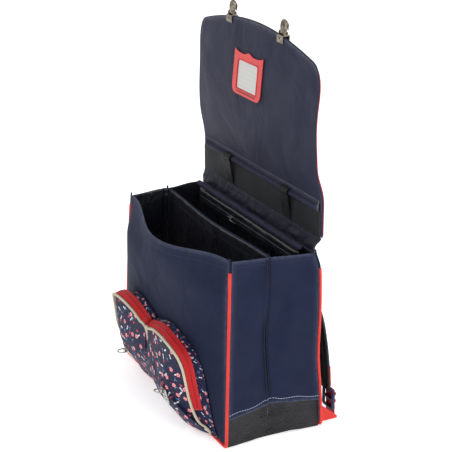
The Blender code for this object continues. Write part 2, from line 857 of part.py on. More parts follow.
def rounded_rectangle(width, height, radius, steps=3, centre=(0.0, 0.0)):
    points = []
    for quarter in range(4):
        corner_x = (width / 2 - radius) * (1 if quarter in (0, 3) else -1)
        corner_y = (height / 2 - radius) * (1 if quarter in (0, 1) else -1)
        for index in range(steps + 1):
            angle = math.pi / 2 * (quarter + index / steps)
            x = centre[0] + corner_x + radius * math.cos(angle)
            y = centre[1] + corner_y + radius * math.sin(angle)
            points.append((x, y))
    return points


def build_catch(suffix, sign):
    """Plate with a barrel across its top and a ring of wire through the barrel."""
    place = catch_frame(sign)
    stand_off = GAP + CATCH_WALL / 2
    outline_points = rounded_rectangle(CATCH_WIDTH, CATCH_LENGTH, CATCH_CORNER, 2)
    holes = []
    for share in CATCH_HOLE_SHARES:
        centre = (0.0, -CATCH_LENGTH * share)
        holes.append(rounded_rectangle(CATCH_HOLE, CATCH_HOLE, CATCH_HOLE / 3, 1, centre))
    blank = plate(f"catch_plate_{suffix}", NICKEL, outline_points, CATCH_WALL, holes)
    place.translation = slump(signed(place.translation, sign))
    blank.matrix_world = place @ Matrix.Translation((0.0, 0.0, stand_off))
    body = solid_mesh(blank)
    barrel_out = stand_off + CATCH_WALL / 2 + BARREL_RADIUS * BARREL_SEAT
    axis = place @ Vector((0.0, CATCH_LENGTH * BARREL_SHARE, barrel_out))
    barrel = rod(f"barrel_{suffix}", NICKEL, BARREL_RADIUS, BARREL_WIDTH, axis, CUTTERS)
    bore_radius = RING_WIRE + PIN_CLEARANCE
    bore = rod(f"bore_{suffix}", NICKEL, bore_radius, BARREL_WIDTH * 2, axis, CUTTERS)
    combine(body, barrel, "UNION")
    combine(body, bore, "DIFFERENCE")
    out = place.to_3x3() @ Vector((0.0, 0.0, 1.0))
    forward = Vector((0.0, out.y, out.z + RING_LIFT)).normalized()
    points = []
    steps = 10
    for index in range(steps + 1):
        angle = math.pi * index / steps
        reach = RING_REACH * math.sin(angle) ** RING_ROUNDNESS
        points.append(Vector((RING_WIDTH / 2 * math.cos(angle), 0.0, 0.0)) + forward * reach)
    ring = tube(f"catch_ring_{suffix}", NICKEL, points, RING_WIRE, 1, 1, True, False)
    ring.location = axis


# Flap


def flap_half_width(z):
    """Half width of the flap below its corners."""
    rise = (z - FLAP_BOTTOM) / (FLAP_TOP - FLAP_BOTTOM)
    return FLAP_HALF_WIDTH * interpolate(FLAP_SIDE, FLAP_COLUMNS, "width", rise)


def flap_edge(x):
    """Height of the flap's free edge, arched and with rounded corners."""
    share = min(abs(x) / FLAP_HALF_WIDTH, 1.0)
    arch = FLAP_TOP - FLAP_ARCH * share * share
    start = 1 - FLAP_CORNER_X / FLAP_HALF_WIDTH
    if share < start:
        return arch
    part = (share - start) / (1 - start)
    power = FLAP_CORNER_POWER
    return arch - FLAP_CORNER_Z * (1 - max(1 - part ** power, 0.0) ** (1 / power))


def flap_face(x, z):
    """Inner face of the flap's lining: upright at the band, leaning and bowed above."""
    rise = smoothstep((z - ROD_TOP) / (LEAN_TOP - ROD_TOP))
    share = min(abs(x) / FLAP_HALF_WIDTH, 1.0)
    climb = min(max((z - ROD_TOP) / (FLAP_TOP - ROD_TOP), 0.0), 1.0)
    bow = FLAP_BOW * (1 - share * share) * math.sin(math.pi * climb)
    curl = FLAP_CURL * max(x / FLAP_HALF_WIDTH, 0.0) ** 3 * bump((z - CURL_Z) / (2 * CURL_SPREAD))
    curl *= smoothstep(climb * CURL_ONSET)
    return FLAP_Y - FLAP_LEAN * rise - bow - curl


def flap_sheet(name, material, depth, flip):
    """One layer of the flap, its front at a depth behind the inner face; the foot row stays flat."""
    rows = 8

    def place(u, v):
        angle = (2 * u - 1) * math.pi / 2
        across = math.sin(angle) * (-1 if flip else 1)
        x = across * FLAP_HALF_WIDTH
        row = v * rows
        z = FLAP_BOTTOM + min(row, 1.0) * (ROD_TOP - FLAP_BOTTOM)
        z += max(row - 1, 0.0) / (rows - 1) * (flap_edge(x) - ROD_TOP)
        x = across * flap_half_width(z)
        thickness = FLAP_CLOTH if flip else 0.0
        return x, flap_face(across * FLAP_HALF_WIDTH, z) + depth + thickness, z

    return sheet(name, material, place, 16, rows, FLAP_CLOTH, 1, False)


def build_flap():
    flap_sheet("flap_lining", INNER_CLOTH, 0.0, False)
    flap_sheet("flap_cover", PRINT, FLAP_CLOTH + FLAP_PLY_GAP, True)
    build_flap_piping()

    def webbing(u, v):
        z = FLAP_BOTTOM + v * WEBBING_HEIGHT
        return (2 * u - 1) * BAND_HALF_WIDTH, FLAP_Y - GAP - WEBBING_WALL, z

    sheet("flap_band", WEBBING, webbing, 4, 2, WEBBING_WALL, 1, False)
    y = FLAP_Y - GAP - ROD_RADIUS
    ends = [(-ROD_HALF_WIDTH, y, ROD_Z), (ROD_HALF_WIDTH, y, ROD_Z)]
    tube("flap_roll", NAVY, ends, ROD_RADIUS, 2, 1, False, False)
    for side, sign in SIDES:
        build_loop(f"flap_loop_{side}", sign)


def build_flap_piping():
    """Thin piping on the printed side, just inside the edge."""
    points = []
    steps = 26
    inset = 2 * RIM_PIPING_RADIUS
    back = FLAP_LAYERS + 2 * FLAP_PLY_GAP + RIM_PIPING_RADIUS
    for index in range(steps + 1):
        across = math.sin((2 * index / steps - 1) * math.pi / 2)
        x = across * FLAP_HALF_WIDTH
        z = flap_edge(x) - inset
        y = flap_face(x, z) + back
        shrink = 1 - inset / FLAP_HALF_WIDTH
        points.append(Vector((across * flap_half_width(z) * shrink, y, z)))
    foot = []
    sides = 7
    for index in range(sides):
        z = FLAP_BOTTOM + inset + (points[0].z - FLAP_BOTTOM - inset) * index / sides
        x = flap_half_width(z) - inset
        foot.append((x, z))
    left = [Vector((-x, flap_face(-FLAP_HALF_WIDTH, z) + back, z)) for x, z in foot]
    right = [Vector((x, flap_face(FLAP_HALF_WIDTH, z) + back, z)) for x, z in reversed(foot)]
    return tube("flap_piping", RED, left + points + right, RIM_PIPING_RADIUS, 1, 1, False, False)


def build_loop(name, sign):
    """Webbing that rises over the band and wraps the rod."""
    front = FLAP_Y - 2 * GAP - WEBBING_WALL
    radius = ROD_RADIUS + GAP + WEBBING_WALL
    centre_y = FLAP_Y - GAP - ROD_RADIUS
    foot_z = FLAP_BOTTOM + LOOP_FOOT
    start_angle = math.radians(LOOP_JOIN_ANGLE)
    sweep = start_angle + math.radians(LOOP_WRAP_ANGLE)

    def place(u, v):
        x = LOOP_X + (u - 0.5) * LOOP_WIDTH
        join_y = centre_y - radius * math.cos(start_angle)
        join_z = ROD_Z - radius * math.sin(start_angle)
        if v < LOOP_CLIMB:
            part = v / LOOP_CLIMB
            y = front - WEBBING_WALL + (join_y - front + WEBBING_WALL) * smoothstep(part)
            return x, y, foot_z + part * (join_z - foot_z)
        angle = -start_angle + (v - LOOP_CLIMB) / (1 - LOOP_CLIMB) * sweep
        return x, centre_y - radius * math.cos(angle), ROD_Z + radius * math.sin(angle)

    return sheet(name, WEBBING, place, 2, 11, WEBBING_WALL, sign, False)


def build_hinge_strip():
    def place(u, v):
        low_y = back_face(BODY_HEIGHT) - STIFF_WALL
        low_z = slump((0.0, low_y, BODY_HEIGHT)).z + 2 * GAP
        high_y = FLAP_Y
        high_z = FLAP_BOTTOM - GAP
        low_half_width = BODY_WIDTH / 2 - PANEL_SIDE
        half_width = low_half_width + v * (HINGE_HALF_WIDTH - low_half_width)
        y = low_y + (high_y - low_y) * v
        return (2 * u - 1) * half_width, y, low_z + v * (high_z - low_z)

    return sheet("hinge_strip", NAVY, place, 4, 3, HINGE_WALL, 1, False)


def label_outline():
    """Round foot corners and a top edge of two scoops between raised points."""
    half = LABEL_WIDTH / 2
    low = -LABEL_HEIGHT / 2
    top = LABEL_HEIGHT / 2
    points = []
    steps = 4
    for corner_x, start in ((half - LABEL_CORNER, -90), (-half + LABEL_CORNER, 180)):
        arc = []
        for index in range(steps + 1):
            angle = math.radians(start + 90 * index / steps)
            arc_x = corner_x + LABEL_CORNER * math.cos(angle)
            arc.append((arc_x, low + LABEL_CORNER * (1 + math.sin(angle))))
        points.append(arc)
    edge = []
    edge_steps = 16
    for index in range(edge_steps + 1):
        share = 1 - 2 * index / edge_steps
        wave = abs(share) ** LABEL_TIP_POWER + LABEL_CREST * bump(share / (2 * LABEL_CREST_WIDTH))
        edge.append((half * share, top - LABEL_EAR + LABEL_EAR * wave))
    return points[0] + edge + points[1]


def build_label():
    """Vinyl holder with a window, and the card that shows in it."""
    low = Vector((0.0, flap_face(0.0, LABEL_Z - LABEL_HEIGHT / 2), LABEL_Z - LABEL_HEIGHT / 2))
    high = Vector((0.0, flap_face(0.0, LABEL_Z + LABEL_HEIGHT / 2), LABEL_Z + LABEL_HEIGHT / 2))
    lean = Matrix.Rotation(-math.atan2(high.y - low.y, high.z - low.z), 4, "X")
    proud = flap_face(0.0, LABEL_Z) - (low.y + high.y) / 2
    seat = Vector((0.0, (low.y + high.y) / 2 + min(proud, 0.0) - GAP, LABEL_Z))
    window_z = -LABEL_HEIGHT / 2 + WINDOW_RISE + WINDOW_HEIGHT / 2
    window = rounded_rectangle(WINDOW_WIDTH, WINDOW_HEIGHT, LABEL_CORNER / 4, 2, (0.0, window_z))
    upright = Matrix.Translation(seat) @ lean @ UPRIGHT
    holder = plate("label_holder", VINYL, label_outline(), LABEL_WALL, (window,))
    holder.matrix_world = upright @ Matrix.Translation((0.0, 0.0, LABEL_WALL / 2))
    card_size = (WINDOW_WIDTH - 2 * GAP, WINDOW_HEIGHT - 2 * GAP)
    card_outline = rounded_rectangle(*card_size, LABEL_CORNER / 4, 2, (0.0, window_z))
    card = plate("label_card", PAPER, card_outline, CARD_WALL)
    card.matrix_world = upright @ Matrix.Translation((0.0, 0.0, CARD_WALL / 2))


# Hooks


def build_hook(suffix, sign):
    """Bracket over the flap's edge, and the lever that turns in it."""
    x = HOOK_X * sign
    edge_top = flap_edge(HOOK_X - BRACKET_WIDTH / 2)
    slot_front = flap_face(HOOK_X, edge_top - BRACKET_DROP) - SLOT_SLACK
    rim = 2 * (FLAP_PLY_GAP + RIM_PIPING_RADIUS)
    slot_back = flap_face(HOOK_X, edge_top) + FLAP_LAYERS + rim + SLOT_SLACK
    slot_top = edge_top + GAP
    block_top = slot_top + BRACKET_WALL
    block_bottom = slot_top - BRACKET_DROP
    front = slot_front - BRACKET_WALL
    back = slot_back + BRACKET_WALL
    middle_y = (front + back) / 2
    axis = Vector((x, middle_y, block_top + GAP + LEVER_THICKNESS / 2))

    size = (BRACKET_WIDTH, back - front, block_top - block_bottom)
    bracket = box(f"hook_base_{suffix}", NICKEL, size, (x, middle_y, (block_top + block_bottom) / 2))
    slot_size = (BRACKET_WIDTH * 2, slot_back - slot_front, BRACKET_DROP * 2)
    slot_place = (x, (slot_front + slot_back) / 2, slot_top - BRACKET_DROP)
    slot = box(f"slot_{suffix}", NICKEL, slot_size, slot_place, CUTTERS)
    combine(bracket, slot, "DIFFERENCE")
    ear_radius = LEVER_THICKNESS / 2 + BRACKET_WALL / 2
    for end, hand in (("near", 1), ("far", -1)):
        ear_x = x + hand * (BRACKET_WIDTH - EAR_WALL) / 2
        cheek_size = (EAR_WALL, 2 * ear_radius, axis.z - slot_top)
        cheek_place = (ear_x, middle_y, (axis.z + slot_top) / 2)
        cheek = box(f"cheek_{end}_{suffix}", NICKEL, cheek_size, cheek_place, CUTTERS)
        ear_place = (ear_x, axis.y, axis.z)
        ear = rod(f"ear_{end}_{suffix}", NICKEL, ear_radius, EAR_WALL, ear_place, CUTTERS)
        combine(bracket, cheek, "UNION")
        combine(bracket, ear, "UNION")
    bore_radius = PIN_RADIUS + PIN_CLEARANCE
    bore = rod(f"hook_bore_{suffix}", NICKEL, bore_radius, BRACKET_WIDTH * 2, axis, CUTTERS)
    combine(bracket, bore, "DIFFERENCE")

    lever_width = BRACKET_WIDTH - 2 * (EAR_WALL + GAP)
    side_points = [(out * LEVER_THICKNESS, up * LEVER_HEIGHT) for out, up in LEVER_SIDE]
    side = plate(f"hook_{suffix}", NICKEL, side_points, lever_width)
    side.matrix_world = Matrix.Translation(axis) @ ON_SIDE
    lever = solid_mesh(side)
    front_points = [(across * lever_width, up * LEVER_HEIGHT) for across, up in LEVER_FRONT]
    shape = plate(f"lever_front_{suffix}", NICKEL, front_points, LEVER_HEIGHT * 2, (), CUTTERS)
    shape.matrix_world = Matrix.Translation(axis) @ UPRIGHT
    combine(lever, solid_mesh(shape), "INTERSECT")
    knuckle = rod(f"knuckle_{suffix}", NICKEL, LEVER_THICKNESS / 2, lever_width, axis, CUTTERS)
    pin = rod(f"pin_{suffix}", NICKEL, PIN_RADIUS, BRACKET_WIDTH, axis, CUTTERS)
    combine(lever, knuckle, "UNION")
    combine(lever, pin, "UNION")


# Back, straps and handle


def build_back_pad():
    def place(u, v):
        z = PAD_FOOT + v * (BODY_HEIGHT - PAD_DROP - PAD_FOOT)
        return (0.5 - u) * PAD_WIDTH, back_face(z) + GAP + PAD_THICKNESS, z

    return sheet("back_pad", MESH, place, 4, 9, PAD_THICKNESS, 1, False)


def strap_point(across, along):
    """Outer face of the right strap: 0 is its top and 1 its foot."""
    top_z = BODY_HEIGHT - PAD_DROP - STRAP_WALL
    z = top_z + along * (STRAP_FOOT_Z - top_z)
    reach = STRAP_REACH * interpolate(STRAP_ROUTE, STRAP_COLUMNS, "reach", along)
    way = interpolate(STRAP_ROUTE, STRAP_COLUMNS, "across", along)
    width = STRAP_WIDTH + (STRAP_FOOT_WIDTH - STRAP_WIDTH) * smoothstep(along)
    x = STRAP_TOP_X + way * (STRAP_FOOT_X - STRAP_TOP_X) + across * width
    return Vector((x, back_face(z) + PAD_THICKNESS + 2 * GAP + STRAP_WALL + reach, z))


def build_strap(name, sign):
    def place(u, v):
        return strap_point(0.5 - u, 1 - v)

    return sheet(name, MESH, place, 4, 12, STRAP_WALL, sign, False)


def build_strap_end(suffix, sign):
    """Adjuster below the strap's foot, webbing down to the tab, and the tab in the corner."""
    foot = strap_point(0.0, 1.0)
    adjuster_z = foot.z - GAP - ADJUSTER_LENGTH / 2
    frame_outline = rounded_rectangle(ADJUSTER_WIDTH, ADJUSTER_LENGTH, ADJUSTER_RAIL, 2)
    opening_size = (ADJUSTER_WIDTH - 2 * ADJUSTER_RAIL, (ADJUSTER_LENGTH - 3 * ADJUSTER_RAIL) / 2)
    offset = (opening_size[1] + ADJUSTER_RAIL) / 2
    openings = []
    for hand in (1, -1):
        openings.append(rounded_rectangle(*opening_size, ADJUSTER_RAIL / 4, 1, (0.0, hand * offset)))
    adjuster = plate(f"strap_adjuster_{suffix}", PLASTIC, frame_outline, ADJUSTER_WALL, openings)
    adjuster_y = foot.y - STRAP_WALL / 2 + ADJUSTER_OUT
    adjuster.matrix_world = Matrix.Translation((ADJUSTER_X * sign, adjuster_y, adjuster_z)) @ UPRIGHT
    tail_y = adjuster_y + ADJUSTER_WALL / 2 + GAP + TAIL_WALL
    high_z = adjuster_z + ADJUSTER_LENGTH / 2
    low_x = TAB_X - TAB_WALL / 2 - GAP - TAIL_WIDTH / 2

    def tail(u, v):
        rise = smoothstep(v)
        x = low_x + rise * (ADJUSTER_X - low_x) + (0.5 - u) * TAIL_WIDTH
        return x, tail_y, TAIL_FOOT_Z + v * (high_z - TAIL_FOOT_Z)

    sheet(f"strap_webbing_{suffix}", ZIP_RED, tail, 2, 6, TAIL_WALL, sign, False)
    seam_y = back_face(0.0) + PIPING_RADIUS + GAP
    tab_outline = [(0.0, 0.0), (TAB_REACH, 0.0), (TAB_REACH, TAB_TIP), (0.0, TAB_HEIGHT)]
    tab = plate(f"strap_tab_{suffix}", ZIP_RED, tab_outline, TAB_WALL)
    tab.matrix_world = Matrix.Translation((TAB_X * sign, seam_y, TAB_FOOT_Z)) @ ON_SIDE


def build_handle():
    """Carrying handle of webbing on the printed side, its ends at the two loops."""
    middle_z = FLAP_BOTTOM + WEBBING_HEIGHT / 2

    def place(u, v):
        across = 1 - 2 * u
        lift = HANDLE_REACH * smoothstep((1 - abs(across)) / HANDLE_RAMP)
        x = across * (LOOP_X + LOOP_WIDTH / 2)
        z = middle_z + (v - 0.5) * HANDLE_WIDTH
        return x, FLAP_Y + FLAP_LAYERS + GAP + HANDLE_WALL + lift, z

    return sheet("handle", WEBBING, place, 14, 2, HANDLE_WALL, 1, False)


def build_ransel():
    build_base()
    build_front_panel()
    build_back_panel()
    build_divider()
    build_sleeve()
    build_piping()
    build_hinge_strip()
    build_flap()
    build_label()
    build_back_pad()
    build_handle()
    for side, sign in SIDES:
        build_gusset(f"gusset_{side}", sign)
        build_base_band(f"base_band_{side}", sign)
        build_pocket(f"pocket_{side}", sign)
        build_pocket_zip(f"pocket_zip_{side}", sign)
        build_pocket_piping(f"pocket_piping_{side}", sign)
        build_catch(side, sign)
        build_hook(side, sign)
        build_strap(f"shoulder_strap_{side}", sign)
        build_strap_end(side, sign)


build_ransel()
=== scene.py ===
"""Looks of the school ransel: every cloth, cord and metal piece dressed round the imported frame.

Sizes are in metres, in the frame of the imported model: +X is the right side, the front is at -Y, +Z is up.
"""
import json
import logging
import math
from dataclasses import dataclass
from enum import Enum
from typing import Callable, Optional, Sequence, Union

import bmesh
import bpy
from mathutils import Matrix, Vector, noise


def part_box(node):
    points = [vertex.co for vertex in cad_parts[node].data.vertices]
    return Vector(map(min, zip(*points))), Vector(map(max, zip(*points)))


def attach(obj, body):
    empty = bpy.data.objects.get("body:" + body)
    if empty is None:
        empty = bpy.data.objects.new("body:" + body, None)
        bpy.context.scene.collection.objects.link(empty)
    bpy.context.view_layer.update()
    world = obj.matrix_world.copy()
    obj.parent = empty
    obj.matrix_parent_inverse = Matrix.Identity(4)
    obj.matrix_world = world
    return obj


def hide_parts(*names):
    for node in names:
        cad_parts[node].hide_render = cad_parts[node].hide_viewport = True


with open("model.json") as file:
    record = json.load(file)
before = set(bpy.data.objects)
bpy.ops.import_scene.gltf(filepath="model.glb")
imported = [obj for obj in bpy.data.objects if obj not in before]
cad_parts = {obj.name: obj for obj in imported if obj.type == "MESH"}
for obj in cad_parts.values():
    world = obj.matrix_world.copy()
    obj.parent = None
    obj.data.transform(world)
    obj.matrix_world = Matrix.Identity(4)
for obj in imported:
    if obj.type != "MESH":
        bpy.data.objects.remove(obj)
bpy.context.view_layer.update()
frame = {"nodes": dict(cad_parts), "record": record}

LOG = logging.getLogger("ransel")
BODY = "satchel"
SIDES = (("right", 1), ("left", -1))
UV_NAME = "cloth"
OUT_NAME = "out"
# Attribute that grows towards a cloth's edges; it pales the colour there, partly as abrasion and partly as a painted
# highlight on the rims.
WEAR_AND_HIGHLIGHT_NAME = "wear_and_highlight"
WAVE_TURN = 0.3142  # a wave texture's scale times its period in metres
Place = Callable[[float, float], Vector]
Tree = bpy.types.NodeTree
Socket = bpy.types.NodeSocket
Input = Union[Socket, float, tuple]
FacePath = tuple[list[Vector], list[Vector]]


# Small tools for numbers and paths


def clamp(value: float, low: float = 0.0, high: float = 1.0) -> float:
    """Keeps a value between two limits."""
    return min(max(value, low), high)


def smoothstep(value: float) -> float:
    """Eases from 0 to 1."""
    value = clamp(value)
    return value * value * (3 - 2 * value)


def bump(away: float) -> float:
    """A soft ridge: 1 at 0 and almost gone at 1."""
    return math.exp(-4 * away * away)


def blend(before: tuple, low: tuple, high: tuple, after: tuple, share: float) -> float:
    """Smooth value between two (value, place) pairs with the slopes that their neighbours give.

    Args:
        before: The pair before the low one.
        low: The pair at share 0.
        high: The pair at share 1.
        after: The pair after the high one.
        share: Place between low and high.

    Returns:
        The value there.
    """
    square = share * share
    cube = square * share
    span = high[1] - low[1]
    return (
        (2 * cube - 3 * square + 1) * low[0]
        + (cube - 2 * square + share) * (high[0] - before[0]) / (high[1] - before[1]) * span
        + (3 * square - 2 * cube) * high[0]
        + (cube - square) * (after[0] - low[0]) / (after[1] - low[1]) * span
    )


def interpolate(rows: Sequence[tuple], column: int, position: float) -> float:
    """Reads a table's column at a position in its first column.

    Args:
        rows: The table.
        column: Index of the column.
        position: Where to read.

    Returns:
        The smooth value.
    """
    last = len(rows) - 1
    position = clamp(position, rows[0][0], rows[last][0])
    index = 0
    while index < last - 1 and position > rows[index + 1][0]:
        index += 1
    picks = (max(index - 1, 0), index, index + 1, min(index + 2, last))
    before, low, high, after = [(rows[pick][column], rows[pick][0]) for pick in picks]
    return blend(before, low, high, after, (position - low[1]) / (high[1] - low[1]))


def ripple(point: Sequence[float], per_metre: float, height: float, seed: float = 0.0) -> float:
    """Soft noise that stands for small folds in cloth.

    Args:
        point: Where to read it.
        per_metre: Folds per metre.
        height: Largest height.
        seed: Shifts the noise.

    Returns:
        The height there.
    """
    return noise.noise(Vector(point) * per_metre + Vector((seed, seed * 1.7, -seed))) * height


def mirrored(points: Sequence[Vector], sign: int) -> list[Vector]:
    """Copies points to the side that the sign names."""
    return [Vector((point[0] * sign, point[1], point[2])) for point in points]


def shares(count: int) -> list[float]:
    """Even steps from 0 to 1, both included."""
    return [index / count for index in range(count + 1)]


def running_length(points: Sequence[Vector]) -> list[float]:
    """Running length along points.

    Args:
        points: The path.

    Returns:
        The values.
    """
    lengths = [0.0]
    for low, high in zip(points, points[1:]):
        lengths.append(lengths[-1] + (high - low).length)
    return lengths


def spaced(points: Sequence[Vector], spacing: float) -> list[Vector]:
    """Lays points evenly along a path.

    Args:
        points: The path.
        spacing: Distance between the new points.

    Returns:
        The new points, both ends included.
    """
    lengths = running_length(points)
    count = max(int(lengths[-1] / spacing), 2)
    result = []
    index = 0
    for step in range(count + 1):
        target = lengths[-1] * step / count
        while index < len(points) - 2 and lengths[index + 1] < target:
            index += 1
        span = max(lengths[index + 1] - lengths[index], 1e-9)
        result.append(points[index].lerp(points[index + 1], clamp((target - lengths[index]) / span)))
    return result


def rounded_rectangle(width: float, height: float, radius: float, steps: int) -> list[tuple[float, float]]:
    """Outline of a rectangle with round corners, centred on its own origin.

    Args:
        width: Width in metres.
        height: Height in metres.
        radius: Radius of the corners.
        steps: Steps in a corner.

    Returns:
        The points.
    """
    points = []
    for quarter in range(4):
        corner_x = (width / 2 - radius) * (1 if quarter in (0, 3) else -1)
        corner_y = (height / 2 - radius) * (1 if quarter in (0, 1) else -1)
        for index in range(steps + 1):
            angle = math.pi / 2 * (quarter + index / steps)
            points.append((corner_x + radius * math.cos(angle), corner_y + radius * math.sin(angle)))
    return points


# Node trees


def linear(code: str) -> tuple[float, float, float, float]:
    """Turns an sRGB hex value to linear RGBA.

    Args:
        code: The hex value.

    Returns:
        The colour.
    """
    channels = []
    for index in (0, 2, 4):
        value = int(code[index : index + 2], 16) / 255
        channels.append(value / 12.92 if value <= 0.04045 else ((value + 0.055) / 1.055) ** 2.4)
    return (*channels, 1.0)


def feed(tree: Tree, node: bpy.types.Node, links: dict) -> None:
    """Links or sets a node's inputs.

    Args:
        tree: The tree the node is in.
        node: The node.
        links: Inputs by name or index, each a socket to link or a value to set.
    """
    for key, value in links.items():
        if isinstance(value, bpy.types.NodeSocket):
            tree.links.new(value, node.inputs[key])
        else:
            node.inputs[key].default_value = value


def add(tree: Tree, kind: str, links: Optional[dict] = None, **settings) -> bpy.types.Node:
    """Adds one node with its settings and links.

    Args:
        tree: The tree it goes into.
        kind: Type of the node.
        links: Inputs by name or index, each a socket to link or a value to set.
        **settings: Properties of the node.

    Returns:
        The node.
    """
    made = tree.nodes.new(kind)
    for name, value in settings.items():
        setattr(made, name, value)
    feed(tree, made, links or {})
    return made


def own_place(tree: Tree) -> Socket:
    """Place in the object's own coordinates, in metres."""
    return add(tree, "ShaderNodeTexCoord").outputs["Object"]


def clouds(tree: Tree, where: Socket, scale: float, detail: float, distortion: float = 0.0) -> Socket:
    """Soft noise with so many cells per metre."""
    links = {"Vector": where, "Scale": scale, "Detail": detail, "Distortion": distortion}
    return add(tree, "ShaderNodeTexNoise", links).outputs[0]


def maths(tree: Tree, operation: str, *values: Input, **settings) -> Socket:
    """One step of arithmetic."""
    return add(tree, "ShaderNodeMath", dict(enumerate(values)), operation=operation, **settings).outputs[0]


def ranged(
    tree: Tree, value: Socket, start: float = 0.0, end: float = 1.0, low: float = 0.0, high: float = 1.0
) -> Socket:
    """A value moved from one range to another and kept inside it."""
    return add(tree, "ShaderNodeMapRange", {0: value, 1: start, 2: end, 3: low, 4: high}).outputs[0]


def mixed(tree: Tree, share: Input, low: Input, high: Input, **settings) -> Socket:
    """Colour between two others."""
    return add(tree, "ShaderNodeMix", {0: share, 6: low, 7: high}, data_type="RGBA", **settings).outputs[2]


def dimmed(tree: Tree, colour: Socket, share: Socket) -> Socket:
    """A colour times a share."""
    return mixed(tree, 1.0, colour, share, blend_type="MULTIPLY")


def raised(tree: Tree, height: Socket, strength: float, distance: float) -> bpy.types.Node:
    """Relief that a height gives."""
    return add(tree, "ShaderNodeBump", {"Strength": strength, "Distance": distance, "Height": height})


def start_material(name: str, roughness: float) -> tuple[bpy.types.Material, Tree, bpy.types.Node]:
    """Makes a material with nodes.

    Args:
        name: Name of the material.
        roughness: Its roughness where nothing is linked.

    Returns:
        The material, its tree and its shader.
    """
    material = bpy.data.materials.new(name)
    material.use_nodes = True
    shader = material.node_tree.nodes["Principled BSDF"]
    shader.inputs["Roughness"].default_value = roughness
    return material, material.node_tree, shader


class Weave(Enum):
    """How a cloth's threads run."""

    PLAIN = "plain"
    TWILL = "twill"
    RIBBED = "ribbed"


@dataclass(frozen=True)
class Woven:
    """Polyester cloth woven from fine threads: soft sheen, fine relief, painted shade between the threads, and paler
    edges that are partly abrasion and partly a painted highlight.
    """

    name: str
    base: str
    light: str
    # Paler colour mixed in at the cloth's edges: partly abrasion, partly a painted highlight along the rims.
    worn_and_highlight: str
    thread: float
    roughness: float
    sheen: float = 0.04
    relief: float = 0.0004
    folds: float = 0.005
    fold_scale: float = 16.0
    weave: Weave = Weave.PLAIN
    mottle: float = 26.0
    specular: float = 0.22

    def threads(self, tree: Tree, cloth: Socket) -> Socket:
        """Height of the threads.

        Args:
            tree: The material's tree.
            cloth: Place on the cloth in metres.

        Returns:
            A height from 0 to 1.
        """
        scale = WAVE_TURN / self.thread
        first = "DIAGONAL" if self.weave is Weave.TWILL else "X"
        along = 0.35 if self.weave is Weave.RIBBED else 1.0
        warp = add(tree, "ShaderNodeTexWave", {"Vector": cloth, "Scale": scale}, bands_direction=first)
        weft = add(tree, "ShaderNodeTexWave", {"Vector": cloth, "Scale": scale * along}, bands_direction="Y")
        return maths(tree, "MULTIPLY", warp.outputs[1], weft.outputs[1])

    def ground(self, tree: Tree, cloth: Socket) -> Socket:
        """Mottled colour of the cloth before its paler edges (partly abrasion, partly painted highlight) are mixed in;
        a printed cloth adds its print here.

        Args:
            tree: The material's tree.
            cloth: Place on the cloth in metres.

        Returns:
            The colour.
        """
        cloud = clouds(tree, own_place(tree), self.mottle, 4.0)
        grain = clouds(tree, cloth, 0.7 / self.thread, 2.0)
        both = maths(tree, "MULTIPLY_ADD", grain, 0.4, maths(tree, "MULTIPLY", cloud, 0.6))
        return mixed(tree, ranged(tree, both, 0.3, 0.7), linear(self.base), linear(self.light))

    def build(self) -> bpy.types.Material:
        """Makes the material.

        Returns:
            The material.
        """
        material, tree, shader = start_material(self.name, self.roughness)
        cloth = add(tree, "ShaderNodeUVMap", uv_map=UV_NAME).outputs[0]
        where = own_place(tree)
        threads = self.threads(tree, cloth)
        # Paler colour along the cloth's edges, broken up by noise: partly abrasion, partly a painted highlight on the
        # rims.
        rub_and_highlight = add(tree, "ShaderNodeAttribute", attribute_name=WEAR_AND_HIGHLIGHT_NAME).outputs["Fac"]
        wear_and_highlight = maths(tree, "MULTIPLY", rub_and_highlight, clouds(tree, where, 140.0, 3.0), use_clamp=True)
        colour = mixed(tree, wear_and_highlight, self.ground(tree, cloth), linear(self.worn_and_highlight))
        fold = clouds(tree, where, self.fold_scale, 3.0, 0.6)
        relief = raised(tree, threads, 0.5, self.relief)
        feed(tree, relief, {"Normal": raised(tree, fold, 0.8, self.folds).outputs[0]})
        # Base colour is darker between the threads and paler on their crowns: painted shade and painted highlight of
        # the weave.
        feed(tree, shader, {
            "Base Color": dimmed(tree, colour, ranged(tree, threads, low=0.86, high=1.08)),
            "Roughness": ranged(tree, fold, 0.3, 0.7, self.roughness - 0.07, self.roughness + 0.07),
            "Normal": relief.outputs[0],
            "Specular IOR Level": self.specular, "Sheen Weight": self.sheen, "Sheen Roughness": 0.45,
        })
        return material


@dataclass(frozen=True)
class Motif:
    """A small shape of the print, laid once in each cell of its own turned layout."""

    spacing: float
    size: float
    gate: float
    turn: float
    petals: float
    waist: float
    power: float
    paints: tuple[str, str, str]


